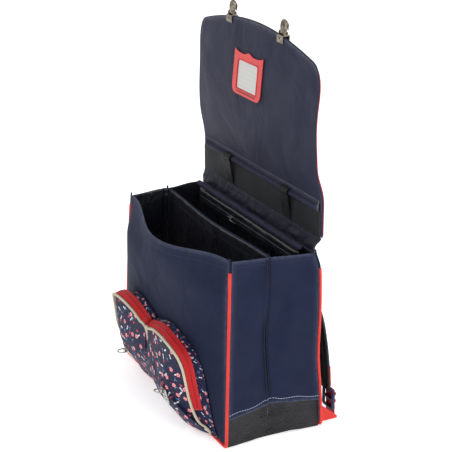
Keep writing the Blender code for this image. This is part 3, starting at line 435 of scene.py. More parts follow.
@dataclass(frozen=True)
class Printed(Woven):
    """Navy cotton-like cloth with a small scattered print of flowers, leaves and sprigs, laid out by cells."""

    motifs: tuple[Motif, ...] = (
        Motif(0.0080, 0.0010, 0.50, 3.60, 1.0, 0.90, 1.0, ("6a2248", "983050", "6a2248")),  # berries
        Motif(0.0160, 0.0040, 0.45, 2.70, 1.5, 0.12, 9.0, ("4f7fb4", "6f9cc9", "9dbfe0")),  # sprigs
        Motif(0.0175, 0.0042, 0.50, 2.00, 1.0, 0.24, 4.0, ("d6e0ee", "eef2f8", "9fb6d4")),  # leaves
        Motif(0.0175, 0.0026, 0.58, 1.10, 1.5, 0.55, 1.0, ("a82444", "e65c70", "7c1a34")),  # buds
        Motif(0.0180, 0.0042, 0.30, 0.30, 2.5, 0.68, 1.0, ("e4546c", "f6b4ba", "b3203c")),  # blossoms
    )

    def scatter(self, tree: Tree, cloth: Socket, motif: Motif) -> tuple[Socket, Socket]:
        """Places one motif in each cell of the cloth.

        Args:
            tree: The material's tree.
            cloth: Place on the cloth in metres.
            motif: Which motif.

        Returns:
            Place in the motif, in cells, and a random value for each.
        """
        laid = add(tree, "ShaderNodeMapping", {
            "Vector": cloth, "Location": (motif.turn * 3.1, motif.turn * 1.7, 0.0), "Rotation": (0.0, 0.0, motif.turn),
            "Scale": (1 / motif.spacing,) * 3,
        }).outputs[0]
        cells = add(
            tree, "ShaderNodeTexVoronoi", {"Vector": laid, "Scale": 1.0, "Randomness": 0.7}, voronoi_dimensions="2D"
        )
        away = add(tree, "ShaderNodeVectorMath", {0: laid, 1: cells.outputs["Position"]}, operation="SUBTRACT")
        random = add(tree, "ShaderNodeSeparateColor", {0: cells.outputs["Color"]})
        angle = maths(tree, "MULTIPLY", random.outputs[0], math.tau)
        turned = add(
            tree, "ShaderNodeVectorRotate", {"Vector": away.outputs[0], "Angle": angle}, rotation_type="Z_AXIS"
        )
        return turned.outputs[0], random.outputs[1]

    def edge(self, tree: Tree, motif: Motif, place: Socket) -> tuple[Socket, Socket]:
        """Distance from a motif's middle and where its edge is in that direction.

        Args:
            tree: The material's tree.
            motif: Which motif.
            place: Place in the motif, in cells.

        Returns:
            The distance and the edge's distance.
        """
        parts = add(tree, "ShaderNodeSeparateXYZ", {0: place})
        angle = maths(tree, "ARCTAN2", parts.outputs[1], parts.outputs[0])
        lobe = maths(tree, "COSINE", maths(tree, "MULTIPLY", angle, motif.petals))
        sharp = maths(tree, "POWER", maths(tree, "ABSOLUTE", lobe), motif.power)
        reach = motif.size / motif.spacing
        distance = add(tree, "ShaderNodeVectorMath", {0: place}, operation="LENGTH")
        return distance.outputs[1], ranged(tree, sharp, low=motif.waist * reach, high=reach)

    def ground(self, tree: Tree, cloth: Socket) -> Socket:
        """Navy ground with each motif painted over it, rim first and heart last.

        Args:
            tree: The material's tree.
            cloth: Place on the cloth in metres.

        Returns:
            The colour.
        """
        colour = Woven.ground(self, tree, cloth)
        for motif in self.motifs:
            place, chance = self.scatter(tree, cloth, motif)
            distance, reach = self.edge(tree, motif, place)
            shown = maths(tree, "GREATER_THAN", chance, motif.gate)
            for paint, share in zip(motif.paints, (1.0, 0.8, 0.34)):
                inside = maths(tree, "LESS_THAN", distance, maths(tree, "MULTIPLY", reach, share))
                colour = mixed(tree, maths(tree, "MULTIPLY", inside, shown), colour, linear(paint))
        return colour


@dataclass(frozen=True)
class Coated:
    """Vinyl-coated cloth or moulded plastic: pebbled grain, and diagonal ribs where it is embossed; its colour is
    darkened in the pits and between the ribs as painted shade and paled on the rib crests as painted highlight.
    """

    name: str
    base: str
    light: str
    roughness: float
    grain: float
    relief: float = 0.0002
    ribs: float = 0.0
    coat: float = 0.0
    specular: float = 0.3

    def embossed(self, tree: Tree, where: Socket, pebble: Socket) -> Socket:
        """Height of the pebbles with diagonal ribs under them.

        Args:
            tree: The material's tree.
            where: Place in metres.
            pebble: Height of the pebbles.

        Returns:
            The height.
        """
        slant = (math.radians(38), 0.0, math.radians(30))
        turned = add(tree, "ShaderNodeMapping", {"Vector": where, "Rotation": slant}).outputs[0]
        links = {"Vector": turned, "Scale": WAVE_TURN / self.ribs, "Distortion": 0.6, "Detail": 1.0}
        rib = add(tree, "ShaderNodeTexWave", links, bands_direction="Z").outputs[1]
        return maths(tree, "ADD", rib, pebble)

    def build(self) -> bpy.types.Material:
        """Makes the material.

        Returns:
            The material.
        """
        material, tree, shader = start_material(self.name, self.roughness)
        where = own_place(tree)
        height = add(tree, "ShaderNodeTexVoronoi", {"Vector": where, "Scale": 1 / self.grain}).outputs[0]
        # The height darkens the colour in the pebbles' pits and between the ribs and pales it on the rib crests:
        # painted shade and painted highlight, stronger where there are ribs.
        dim, pale = 0.86, 1.1
        if self.ribs:
            height = self.embossed(tree, where, height)
            dim, pale = 0.45, 2.0
        cloud = clouds(tree, where, 34.0, 5.0)
        colour = mixed(tree, ranged(tree, cloud, 0.35, 0.68), linear(self.base), linear(self.light))
        feed(tree, shader, {
            "Base Color": dimmed(tree, colour, ranged(tree, height, low=dim, high=pale)),
            "Roughness": ranged(tree, cloud, 0.3, 0.7, self.roughness - 0.08, self.roughness + 0.08),
            "Normal": raised(tree, height, 0.6, self.relief).outputs[0],
            "Specular IOR Level": self.specular, "Coat Weight": self.coat, "Coat Roughness": 0.2,
        })
        return material


@dataclass(frozen=True)
class AirMesh:
    """Knitted spacer mesh: rows of small eyelets, painted dark as the shade in their holes, in a matt black knit."""

    name: str
    base: str
    eyelet_shade: str
    pitch: float
    roughness: float

    def build(self) -> bpy.types.Material:
        """Makes the material.

        Returns:
            The material.
        """
        material, tree, shader = start_material(self.name, self.roughness)
        where = own_place(tree)
        laid = add(tree, "ShaderNodeMapping", {"Vector": where, "Scale": (1.0, 0.05, 1.0)}).outputs[0]
        links = {"Vector": laid, "Scale": 1 / self.pitch, "Randomness": 0.12}
        cells = add(tree, "ShaderNodeTexVoronoi", links).outputs[0]
        hole = add(tree, "ShaderNodeMapRange", {0: cells, 1: 0.22, 2: 0.42}, interpolation_type="SMOOTHSTEP").outputs[0]
        # The holes take the darker colour: painted shade inside them.
        colour = mixed(tree, hole, linear(self.eyelet_shade), linear(self.base))
        fuzz = ranged(tree, clouds(tree, where, 600.0, 2.0), low=0.8, high=1.25)
        feed(tree, shader, {
            "Base Color": dimmed(tree, colour, fuzz), "Normal": raised(tree, hole, 0.8, 0.0006).outputs[0],
            "Sheen Weight": 0.05, "Specular IOR Level": 0.25,
        })
        return material


@dataclass(frozen=True)
class AgedNickel:
    """Nickel-plated pressed steel, tumbled and handled: warm grey, cloudy gloss, darker in its pits."""

    name: str
    bright: str
    dull: str
    roughness: float

    def build(self) -> bpy.types.Material:
        """Makes the material.

        Returns:
            The material.
        """
        material, tree, shader = start_material(self.name, self.roughness)
        where = own_place(tree)
        cloud = clouds(tree, where, 260.0, 5.0)
        stretched = add(tree, "ShaderNodeMapping", {"Vector": where, "Scale": (1.0, 1.0, 0.08)}).outputs[0]
        scratch = clouds(tree, stretched, 2400.0, 2.0)
        feed(tree, shader, {
            "Base Color": mixed(tree, ranged(tree, cloud, 0.35, 0.62), linear(self.dull), linear(self.bright)),
            "Roughness": ranged(tree, cloud, low=self.roughness + 0.12, high=self.roughness - 0.1),
            "Normal": raised(tree, scratch, 0.3, 0.00008).outputs[0], "Metallic": 1.0,
        })
        return material


@dataclass(frozen=True)
class RuledCard:
    """Matt card under clear film: pale, with faint grey-green rules and a slight unevenness."""

    name: str
    paper: str
    rule: str
    pitch: float
    top: float

    def build(self) -> bpy.types.Material:
        """Makes the material.

        Returns:
            The material.
        """
        material, tree, shader = start_material(self.name, 0.45)
        where = own_place(tree)
        height = add(tree, "ShaderNodeSeparateXYZ", {0: where}).outputs[2]
        part = maths(tree, "FRACT", maths(tree, "DIVIDE", height, self.pitch))
        below = maths(tree, "LESS_THAN", height, self.top)
        drawn = maths(tree, "MULTIPLY", maths(tree, "LESS_THAN", part, 0.14), below)
        fibre = clouds(tree, where, 700.0, 3.0)
        faint = maths(tree, "MULTIPLY", drawn, fibre)
        feed(tree, shader, {
            "Base Color": mixed(tree, faint, linear(self.paper), linear(self.rule)),
            "Normal": raised(tree, fibre, 0.2, 0.0001).outputs[0], "Coat Weight": 0.6, "Coat Roughness": 0.12,
        })
        return material


Finish = Union[Woven, Coated, AirMesh, AgedNickel, RuledCard]


class Finishes:
    """Every finish of the ransel. Thread spacings are drawn about twice as coarse as real so that they show."""

    # Matt dark navy that barely shines: the body's walls
    NAVY = Woven("navy_polyester_canvas", "1b223a", "242b43", "62687f", 0.0012, 0.70, 0.02, specular=0.08)
    # Near-black with soft broad glints in its creases: the inside
    LINING = Woven("coated_nylon_lining", "0c0d14", "191b26", "3a3e52", 0.0010, 0.34, 0.02, 0.0002, 0.0120, 17.0,
                   specular=0.8)
    # Greyer navy with a soft nap and long shallow waves: the flap's inner side
    GREY_NAVY = Woven("brushed_polyester_lining", "272a3d", "333649", "82848e", 0.0011, 0.64, 0.02, folds=0.014,
                      fold_scale=9.0, weave=Weave.TWILL, specular=0.12)
    # Dark navy, crumpled small: the hinge, and the cords in the gussets' fold, where the dark is partly painted crease
    # shade
    HINGE = Woven("creased_lining_cloth", "111424", "191c2e", "3c4056", 0.0012, 0.58, folds=0.008, fold_scale=30.0)
    # Navy strewn with small pink, white and blue motifs: pockets and the flap's outside
    PRINT = Printed("printed_cotton_cloth", "131939", "1b2344", "343c60", 0.0010, 0.66)
    # Bright orange-red with a smooth soft gloss: piping and tabs
    EDGE_RED = Coated("vinyl_covered_piping", "d42c27", "dd3a31", 0.42, 0.0012, 0.0001)
    # Deep red, matt, ribbed across: zip tape and the straps' webbing
    ZIP_RED = Woven("ribbed_zip_tape", "b9121a", "c81f25", "d84f4c", 0.0011, 0.62, 0.04, 0.0003, 0.0010, 40.0,
                    Weave.RIBBED)
    # Darker red with small hard glints: zip teeth
    COIL_RED = Coated("nylon_zip_coil", "8a1118", "a01c23", 0.38, 0.0010, 0.0001)
    # Dull natural beige, slightly hairy: the pockets' piping
    BEIGE = Woven("cotton_piping_cover", "c2b79e", "d8cdb7", "e4dccb", 0.0014, 0.74, 0.04, 0.0003, 0.0003, 60.0,
                  Weave.TWILL)
    # Black with pale diagonal ribs that catch the light: base and side bands
    BLACK = Coated("embossed_coated_canvas", "101012", "1d1d20", 0.46, 0.0016, 0.0010, 0.0042)
    # Charcoal with fine twilled ribs: the flap's band, bindings and handle
    WEBBING = Woven("ribbed_polyester_webbing", "18191d", "25262b", "3e3f44", 0.0013, 0.66, 0.04, 0.0005, 0.0010, 30.0,
                    Weave.TWILL)
    # Blacker and denser, so that the loops stand out from the band
    LOOP = Woven("dense_loop_tape", "070709", "0f0f11", "242427", 0.0013, 0.60, 0.04, 0.0005, 0.0010, 30.0,
                 Weave.RIBBED)
    # Matt black with rows of holes painted darker as their shade: back pad and straps
    MESH = AirMesh("knitted_spacer_mesh", "17171a", "050507", 0.0030, 0.82)
    # Strong red with a wet-looking coat: the name holder, and its darker slit
    VINYL = Coated("welded_vinyl_sheet", "ca2326", "d8302f", 0.34, 0.0018, 0.00012, 0.0, 0.25)
    SLIT = Coated("shadowed_vinyl_slit", "7d1518", "931c1e", 0.50, 0.0018, 0.00012)
    # Warm pale grey with faint rules behind a clear gloss
    CARD = RuledCard("ruled_card_under_film", "c0bfbb", "a3b3a9", 0.0068, 0.534)
    # Brownish grey metal with cloudy highlights: hooks; the paler wire is the catches'
    NICKEL = AgedNickel("aged_nickel_plate", "978d7e", "5d564c", 0.34)
    SILVER = AgedNickel("bright_nickel_wire", "cfcdc8", "8f8c86", 0.26)
    # Navy plastic with an even soft shine: adjusters
    PLASTIC = Coated("moulded_acetal", "1e2549", "2a3159", 0.36, 0.0020, 0.00006)
    # Twisted threads: pale and lively on the hems, otherwise close to their cloth
    SILVER_THREAD = Woven("silver_blue_thread", "8f98b4", "b0b8ce", "d0d5e2", 0.0008, 0.5, weave=Weave.TWILL)
    NAVY_THREAD = Woven("navy_bonded_thread", "2c3350", "454d6e", "4c536f", 0.0008, 0.55, weave=Weave.TWILL)
    BLACK_THREAD = Woven("black_bonded_thread", "1c1c1e", "39393c", "3a3a3c", 0.0008, 0.55, weave=Weave.TWILL)
    RED_THREAD = Woven("red_bonded_thread", "a5151b", "c62b28", "e0605a", 0.0008, 0.55, weave=Weave.TWILL)
    made: dict[str, bpy.types.Material] = {}

    @classmethod
    def of(cls, finish: Finish) -> bpy.types.Material:
        """Gives a finish's material, made once."""
        if finish.name not in cls.made:
            cls.made[finish.name] = finish.build()
        return cls.made[finish.name]


# Meshes


def new_object(name: str, mesh: bpy.types.Mesh, *finishes: Finish) -> bpy.types.Object:
    """Links an object with its finishes.

    Args:
        name: Name of the piece.
        mesh: Its mesh, already in place.
        *finishes: Its finishes in slot order.

    Returns:
        The object.
    """
    obj = bpy.data.objects.new(name, mesh)
    mesh.materials.clear()
    for finish in finishes:
        mesh.materials.append(Finishes.of(finish))
    bpy.context.scene.collection.objects.link(obj)
    return obj


def evaluated(obj: bpy.types.Object) -> bpy.types.Mesh:
    """A plain mesh of an object as its modifiers leave it."""
    bpy.context.view_layer.update()
    return bpy.data.meshes.new_from_object(obj.evaluated_get(bpy.context.evaluated_depsgraph_get()))


def corners(node: str) -> list[Vector]:
    """Lowest and highest corner of a solid."""
    return [Vector(corner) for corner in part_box(node)]


def hinge(name: str) -> Vector:
    """A point on a joint's hinge line."""
    joint = next(item for item in frame["record"]["behaviour"]["joints"] if item["name"] == name)
    return Vector(joint["pos_m"])


def settle(obj: bpy.types.Object, nodes: Sequence[str] = (), body: str = BODY) -> bpy.types.Object:
    """Gives a piece its body and the solids it stands for, and reports it.

    Args:
        obj: The piece.
        nodes: Solids that it replaces.
        body: Body that it moves with.

    Returns:
        The piece.
    """
    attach(obj, body)
    if nodes:
        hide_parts(*nodes)
    LOG.info("%s: %d faces on %s", obj.name, len(obj.data.polygons), body)
    return obj


@dataclass
class Cloth:
    """A wall of cloth over a grid, with a UV map in metres and an edge mask that pales the colour there, partly as
    abrasion and partly as painted highlight.
    """

    name: str
    columns: int
    rows: int
    wall: float
    wear_and_highlight_width: float = 0.0025

    def build(
        self, place: Place, finishes: Sequence[Finish], sign: int = 1, chart: Optional[Callable] = None
    ) -> bpy.types.Object:
        """Makes the wall; place(u, v) is its outer face and it grows inward.

        Args:
            place: Gives the outer face.
            finishes: Outer finish, then the inner one if it differs.
            sign: 1 for the right side, -1 for its mirror image.
            chart: Gives the place on the flat cloth at (u, v, point), where lengths along the grid don't.

        Returns:
            The object.
        """
        grid = [
            [Vector(place(column / self.columns, row / self.rows)) for column in range(self.columns + 1)]
            for row in range(self.rows + 1)
        ]
        across = [running_length(line) for line in grid]
        upward = [running_length([grid[row][column] for row in range(self.rows + 1)])
                  for column in range(self.columns + 1)]
        verts = mirrored([point for line in grid for point in line], sign)
        wide = self.columns + 1
        faces = []
        for row in range(self.rows):
            for column in range(self.columns):
                start = row * wide + column
                face = (start, start + 1, start + wide + 1, start + wide)
                faces.append(face if sign > 0 else face[::-1])
        mesh = bpy.data.meshes.new(self.name)
        mesh.from_pydata(verts, [], faces)
        layer = mesh.uv_layers.new(name=UV_NAME)
        wear_and_highlight = mesh.attributes.new(WEAR_AND_HIGHLIGHT_NAME, "FLOAT", "POINT")
        middle = self.columns // 2
        for loop in mesh.loops:
            row, column = divmod(loop.vertex_index, wide)
            place_on = (across[row][column] - across[row][middle], upward[column][row])
            if chart:
                place_on = chart(column / self.columns, row / self.rows, grid[row][column])
            layer.data[loop.index].uv = place_on
        # Closeness to the cloth's edges, for the paler edge colour: partly abrasion, partly painted highlight.
        for index in range(len(verts)):
            row, column = divmod(index, wide)
            edge = min(
                across[row][column], across[row][-1] - across[row][column],
                upward[column][row], upward[column][-1] - upward[column][row],
            )
            wear_and_highlight.data[index].value = math.exp(-edge / self.wear_and_highlight_width)
        obj = new_object(self.name, mesh, *finishes)
        shell = obj.modifiers.new("wall", "SOLIDIFY")
        shell.thickness = self.wall
        shell.offset = -1.0
        if len(finishes) > 1:
            shell.material_offset = 1
        mesh.shade_smooth()
        return obj


@dataclass
class Cord:
    """A round cord along a path, with rounded ends and a UV map in metres."""

    name: str
    radius: float
    sides: int = 12
    closed: bool = False

    def build(self, points: Sequence[Vector], finish: Finish) -> bpy.types.Object:
        """Makes the cord.

        Args:
            points: Its path.
            finish: Its finish.

        Returns:
            The object.
        """
        count = len(points)
        rings = []
        normal = None
        for index in range(count):
            before = points[index - 1] if index or self.closed else points[index]
            after = points[(index + 1) % count] if index < count - 1 or self.closed else points[index]
            tangent = (after - before).normalized()
            if normal is None:
                normal = Vector((0, 0, 1)) if abs(tangent.z) < 0.9 else Vector((0, 1, 0))
            normal = (normal - tangent * normal.dot(tangent)).normalized()
            side = tangent.cross(normal)
            rings.append((Vector(points[index]), tangent, normal, side, 1.0))
        if not self.closed:
            start, end = rings[0], rings[-1]
            for share, size in ((0.35, 0.85), (0.6, 0.5)):
                away = self.radius * share
                rings.insert(0, (start[0] - start[1] * away, *start[1:4], size))
                rings.append((end[0] + end[1] * away, *end[1:4], size))
        verts = []
        lengths = [0.0]
        for index, (centre, _, up, side, size) in enumerate(rings):
            if index:
                lengths.append(lengths[-1] + (centre - rings[index - 1][0]).length)
            for step in range(self.sides):
                angle = math.tau * step / self.sides
                across = up * math.cos(angle) + side * math.sin(angle)
                verts.append(centre + across * self.radius * size)
        faces = []
        texture = []
        loops = len(rings) if self.closed else len(rings) - 1
        for index in range(loops):
            follow = (index + 1) % len(rings)
            for step in range(self.sides):
                turn = (step + 1) % self.sides
                faces.append(
                    (index * self.sides + step, index * self.sides + turn, follow * self.sides + turn,
                     follow * self.sides + step)
                )
                low, high = lengths[index], lengths[index] + (rings[follow][0] - rings[index][0]).length
                round_low = math.tau * self.radius * step / self.sides
                round_high = math.tau * self.radius * (step + 1) / self.sides
                texture += [(low, round_low), (low, round_high), (high, round_high), (high, round_low)]
        if not self.closed:
            faces.append(tuple(reversed(range(self.sides))))
            faces.append(tuple(range((len(rings) - 1) * self.sides, len(rings) * self.sides)))
            texture += [(0.0, 0.0)] * self.sides + [(lengths[-1], 0.0)] * self.sides
        mesh = bpy.data.meshes.new(self.name)
        mesh.from_pydata(verts, [], faces)
        layer = mesh.uv_layers.new(name=UV_NAME)
        for loop, place in zip(layer.data, texture):
            loop.uv = place
        obj = new_object(self.name, mesh, finish)
        mesh.shade_smooth()
        return obj


def section(centre: Vector, across: tuple, up: tuple) -> tuple[Vector, Vector, Vector]:
    """A lofted section: its centre and its two half axes."""
    return centre, Vector(across), Vector(up)


def loft(
    name: str, parts: Sequence[Sequence[tuple[Vector, Vector, Vector]]], finish: Finish, square: float
) -> bpy.types.Object:
    """Smooth solid through rounded sections, with closed ends.

    Args:
        name: Name of the piece.
        parts: Runs of sections, each a centre and its two half axes.
        finish: Its finish.
        square: 1 for oval sections, less for squarer ones.

    Returns:
        The object.
    """
    sides = 20
    verts = []
    faces = []
    for sections in parts:
        first = len(verts)
        for centre, across, up in sections:
            for step in range(sides):
                angle = math.tau * step / sides
                cosine, sine = math.cos(angle), math.sin(angle)
                verts.append(
                    centre + across * math.copysign(abs(cosine) ** square, cosine)
                    + up * math.copysign(abs(sine) ** square, sine)
                )
        for index in range(len(sections) - 1):
            for step in range(sides):
                low = first + index * sides
                turn = (step + 1) % sides
                faces.append((low + step, low + turn, low + sides + turn, low + sides + step))
        faces.append(tuple(reversed(range(first, first + sides))))
        faces.append(tuple(range(len(verts) - sides, len(verts))))
    mesh = bpy.data.meshes.new(name)
    mesh.from_pydata(verts, [], faces)
    mesh.shade_smooth()
    work = bmesh.new()
    work.from_mesh(mesh)
    bmesh.ops.recalc_face_normals(work, faces=work.faces)
    work.to_mesh(mesh)
    work.free()
    return new_object(name, mesh, finish)


class RowKind(Enum):
    """What a row repeats: its shape, then spacing, length, width and height."""

    HEM_STITCH = ("stitch", 0.0041, 0.0039, 0.0015, 0.0010)
    SEAM_STITCH = ("stitch", 0.0034, 0.0026, 0.0006, 0.0005)
    RAISED_STITCH = ("stitch", 0.0034, 0.0026, 0.0006, 0.0006)
    BAND_STITCH = ("stitch", 0.0034, 0.0026, 0.0007, 0.0005)
    TAPE_STITCH = ("stitch", 0.0030, 0.0023, 0.0005, 0.0005)
    LOOP_STITCH = ("stitch", 0.0030, 0.0023, 0.0007, 0.0005)
    HANDLE_STITCH = ("stitch", 0.0030, 0.0023, 0.0007, 0.0006)
    POCKET_COIL = ("tooth", 0.0016, 0.000992, 0.0030, 0.0009)
    SLEEVE_COIL = ("tooth", 0.0017, 0.0010, 0.0028, 0.0008)


def row_tree(shape: str) -> Tree:
    """Tree that lays one shape along an edge path, turned to the path and to the cloth under it.

    Args:
        shape: "stitch" for a rounded shape, "tooth" for a square one.

    Returns:
        The tree, with spacing, length, width, height and finish as inputs.
    """
    tree = bpy.data.node_groups.new(f"row_of_{shape}", "GeometryNodeTree")
    tree.interface.new_socket("Path", in_out="INPUT", socket_type="NodeSocketGeometry")
    for name in ("Spacing", "Length", "Width", "Height"):
        tree.interface.new_socket(name, in_out="INPUT", socket_type="NodeSocketFloat")
    tree.interface.new_socket("Finish", in_out="INPUT", socket_type="NodeSocketMaterial")
    tree.interface.new_socket("Row", in_out="OUTPUT", socket_type="NodeSocketGeometry")
    given = add(tree, "NodeGroupInput")
    curve = add(tree, "GeometryNodeMeshToCurve", {"Mesh": given.outputs["Path"]})
    laid = add(
        tree, "GeometryNodeResampleCurve", {"Curve": curve.outputs[0], "Length": given.outputs["Spacing"]},
        mode="LENGTH",
    )
    size = add(
        tree, "ShaderNodeCombineXYZ",
        {0: given.outputs["Length"], 1: given.outputs["Width"], 2: given.outputs["Height"]},
    )
    if shape == "stitch":
        one = add(tree, "GeometryNodeMeshUVSphere", {"Segments": 6, "Rings": 5, "Radius": 0.5}).outputs[0]
    else:
        one = add(tree, "GeometryNodeMeshCube", {"Size": (1.0, 1.0, 1.0)}).outputs[0]
    scaled = add(tree, "GeometryNodeTransform", {"Geometry": one, "Scale": size.outputs[0]})
    tangent = add(tree, "GeometryNodeInputTangent")
    along = add(tree, "FunctionNodeAlignRotationToVector", {"Vector": tangent.outputs[0]}, axis="X")
    out = add(tree, "GeometryNodeInputNamedAttribute", {"Name": OUT_NAME}, data_type="FLOAT_VECTOR")
    faced = add(
        tree, "FunctionNodeAlignRotationToVector", {"Rotation": along.outputs[0], "Vector": out.outputs[0]},
        axis="Z", pivot_axis="X",
    )
    placed = add(
        tree, "GeometryNodeInstanceOnPoints",
        {"Points": laid.outputs[0], "Instance": scaled.outputs[0], "Rotation": faced.outputs[0]},
    )
    real = add(tree, "GeometryNodeRealizeInstances", {"Geometry": placed.outputs[0]})
    dressed = add(
        tree, "GeometryNodeSetMaterial", {"Geometry": real.outputs[0], "Material": given.outputs["Finish"]}
    )
    add(tree, "NodeGroupOutput", {"Row": dressed.outputs[0]})
    return tree


@dataclass
class Row:
    """Stitches or zip teeth that follow one or more paths on cloth."""

    name: str
    kind: RowKind

    def lay(self, paths: Sequence[FacePath], finish: Finish) -> None:
        """Lays the row, turns it into a plain mesh and settles it.

        Args:
            paths: Pairs of points and the directions out of the cloth there.
            finish: Finish of every piece in the row.
        """
        shape, spacing, length, width, height = self.kind.value
        mesh = bpy.data.meshes.new(f"{self.name}_path")
        points = [point for path, _ in paths for point in path]
        directions = [direction for _, outs in paths for direction in outs]
        edges = []
        start = 0
        for path, _ in paths:
            edges += [(start + index, start + index + 1) for index in range(len(path) - 1)]
            start += len(path)
        mesh.from_pydata(points, edges, [])
        layer = mesh.attributes.new(OUT_NAME, "FLOAT_VECTOR", "POINT")
        for item, direction in zip(layer.data, directions):
            item.vector = direction
        guide = bpy.data.objects.new(f"{self.name}_guide", mesh)
        bpy.context.scene.collection.objects.link(guide)
        tree = bpy.data.node_groups.get(f"row_of_{shape}") or row_tree(shape)
        modifier = guide.modifiers.new("row", "NODES")
        modifier.node_group = tree
        wanted = {
            "Spacing": spacing, "Length": length, "Width": width, "Height": height, "Finish": Finishes.of(finish),
        }
        for item in tree.interface.items_tree:
            if item.item_type == "SOCKET" and item.in_out == "INPUT" and item.name in wanted:
                modifier[item.identifier] = wanted[item.name]
        guide.update_tag()
        made = evaluated(guide)
        bpy.data.objects.remove(guide, do_unlink=True)
        made.name = self.name
        for attribute in [item.name for item in made.attributes if item.name == OUT_NAME]:
            made.attributes.remove(made.attributes[attribute])
        obj = new_object(self.name, made, finish)
        if shape == "stitch":
            made.shade_smooth()
        settle(obj)


def along_face(
    place: Place, start: tuple[float, float], end: tuple[float, float], count: int, proud: float, sign: int = 1
) -> FacePath:
    """A straight path in a cloth's own (u, v), lifted off its face.

    Args:
        place: Gives the cloth's outer face.
        start: First (u, v).
        end: Last (u, v).
        count: Number of steps.
        proud: How far off the face.
        sign: 1 for the right side, -1 for its mirror image.

    Returns:
        The points and the directions out of the face.
    """
    points = []
    outs = []
    step = 0.004
    for share in shares(count):
        u = start[0] + (end[0] - start[0]) * share
        v = start[1] + (end[1] - start[1]) * share
        low_u, high_u = clamp(u - step), clamp(u + step)
        low_v, high_v = clamp(v - step), clamp(v + step)
        across = Vector(place(high_u, v)) - Vector(place(low_u, v))
        upward = Vector(place(u, high_v)) - Vector(place(u, low_v))
        out = across.cross(upward).normalized()
        points.append(Vector(place(u, v)) + out * proud)
        outs.append(out)
    return mirrored(points, sign), mirrored(outs, sign)


def refined(node: str, ending: str, finish: Finish, bevel: float, segments: int = 2) -> None:
    """Makes and settles a merged copy of a solid with softened edges, to stand for it.

    Args:
        node: The solid's name.
        ending: What the piece's name adds to the solid's.
        finish: Its finish.
        bevel: Width of the softened edges.
        segments: Steps across an edge.
    """
    name = f"{node}_{ending}"
    mesh = frame["nodes"][node].data.copy()
    mesh.name = name
    work = bmesh.new()
    work.from_mesh(mesh)
    bmesh.ops.remove_doubles(work, verts=work.verts, dist=0.00001)
    bmesh.ops.dissolve_limit(work, angle_limit=math.radians(2), verts=work.verts, edges=work.edges)
    work.to_mesh(mesh)
    work.free()
    obj = new_object(name, mesh, finish)
    for polygon in mesh.polygons:
        polygon.material_index = 0
    soft = obj.modifiers.new("soft_edges", "BEVEL")
    soft.width = bevel
    soft.segments = segments
    soft.limit_method = "ANGLE"
    soft.angle_limit = math.radians(35)
    soft.use_clamp_overlap = True
    mesh.shade_smooth()
    mesh.set_sharp_from_angle(angle=math.radians(38))
    settle(obj, [node])


@dataclass
class Padding:
    """Swells a padded piece with a short cloth simulation, its movement capped."""

    voxel: float = 0.005
    pressure: float = 4.0
    frames: int = 20
    cap: float = 0.0025
    finer: int = 1

    def swell(self, obj: bpy.types.Object) -> None:
        """Remeshes, simulates, caps and smooths the piece in place.

        Args:
            obj: The piece, whose modifiers are applied first.
        """
        scene = bpy.context.scene
        made = evaluated(obj)
        obj.modifiers.clear()
        materials = list(obj.data.materials)
        obj.data = made
        remesh = obj.modifiers.new("even_grid", "REMESH")
        remesh.mode = "VOXEL"
        remesh.voxel_size = self.voxel
        even = evaluated(obj)
        obj.modifiers.clear()
        obj.data = even
        before = [vert.co.copy() for vert in even.vertices]
        cloth = obj.modifiers.new("swell", "CLOTH")
        cloth.settings.quality = 4
        cloth.settings.use_pressure = True
        cloth.settings.uniform_pressure_force = self.pressure
        cloth.settings.effector_weights.gravity = 0.0
        cloth.settings.tension_stiffness = 30
        cloth.settings.compression_stiffness = 30
        for number in range(1, self.frames + 1):
            scene.frame_set(number)
        result = evaluated(obj)
        obj.modifiers.clear()
        for vert, start in zip(result.vertices, before):
            move = vert.co - start
            if move.length > self.cap:
                vert.co = start + move.normalized() * self.cap
        obj.data = result
        scene.frame_set(1)
        obj.data.name = obj.name
        obj.data.materials.clear()
        for material in materials:
            obj.data.materials.append(material)
        if self.finer:
            finer = obj.modifiers.new("smooth", "SUBSURF")
            finer.levels = self.finer
            finer.render_levels = self.finer
        obj.data.shade_smooth()


# The ransel's own shape, repeated from the part's source


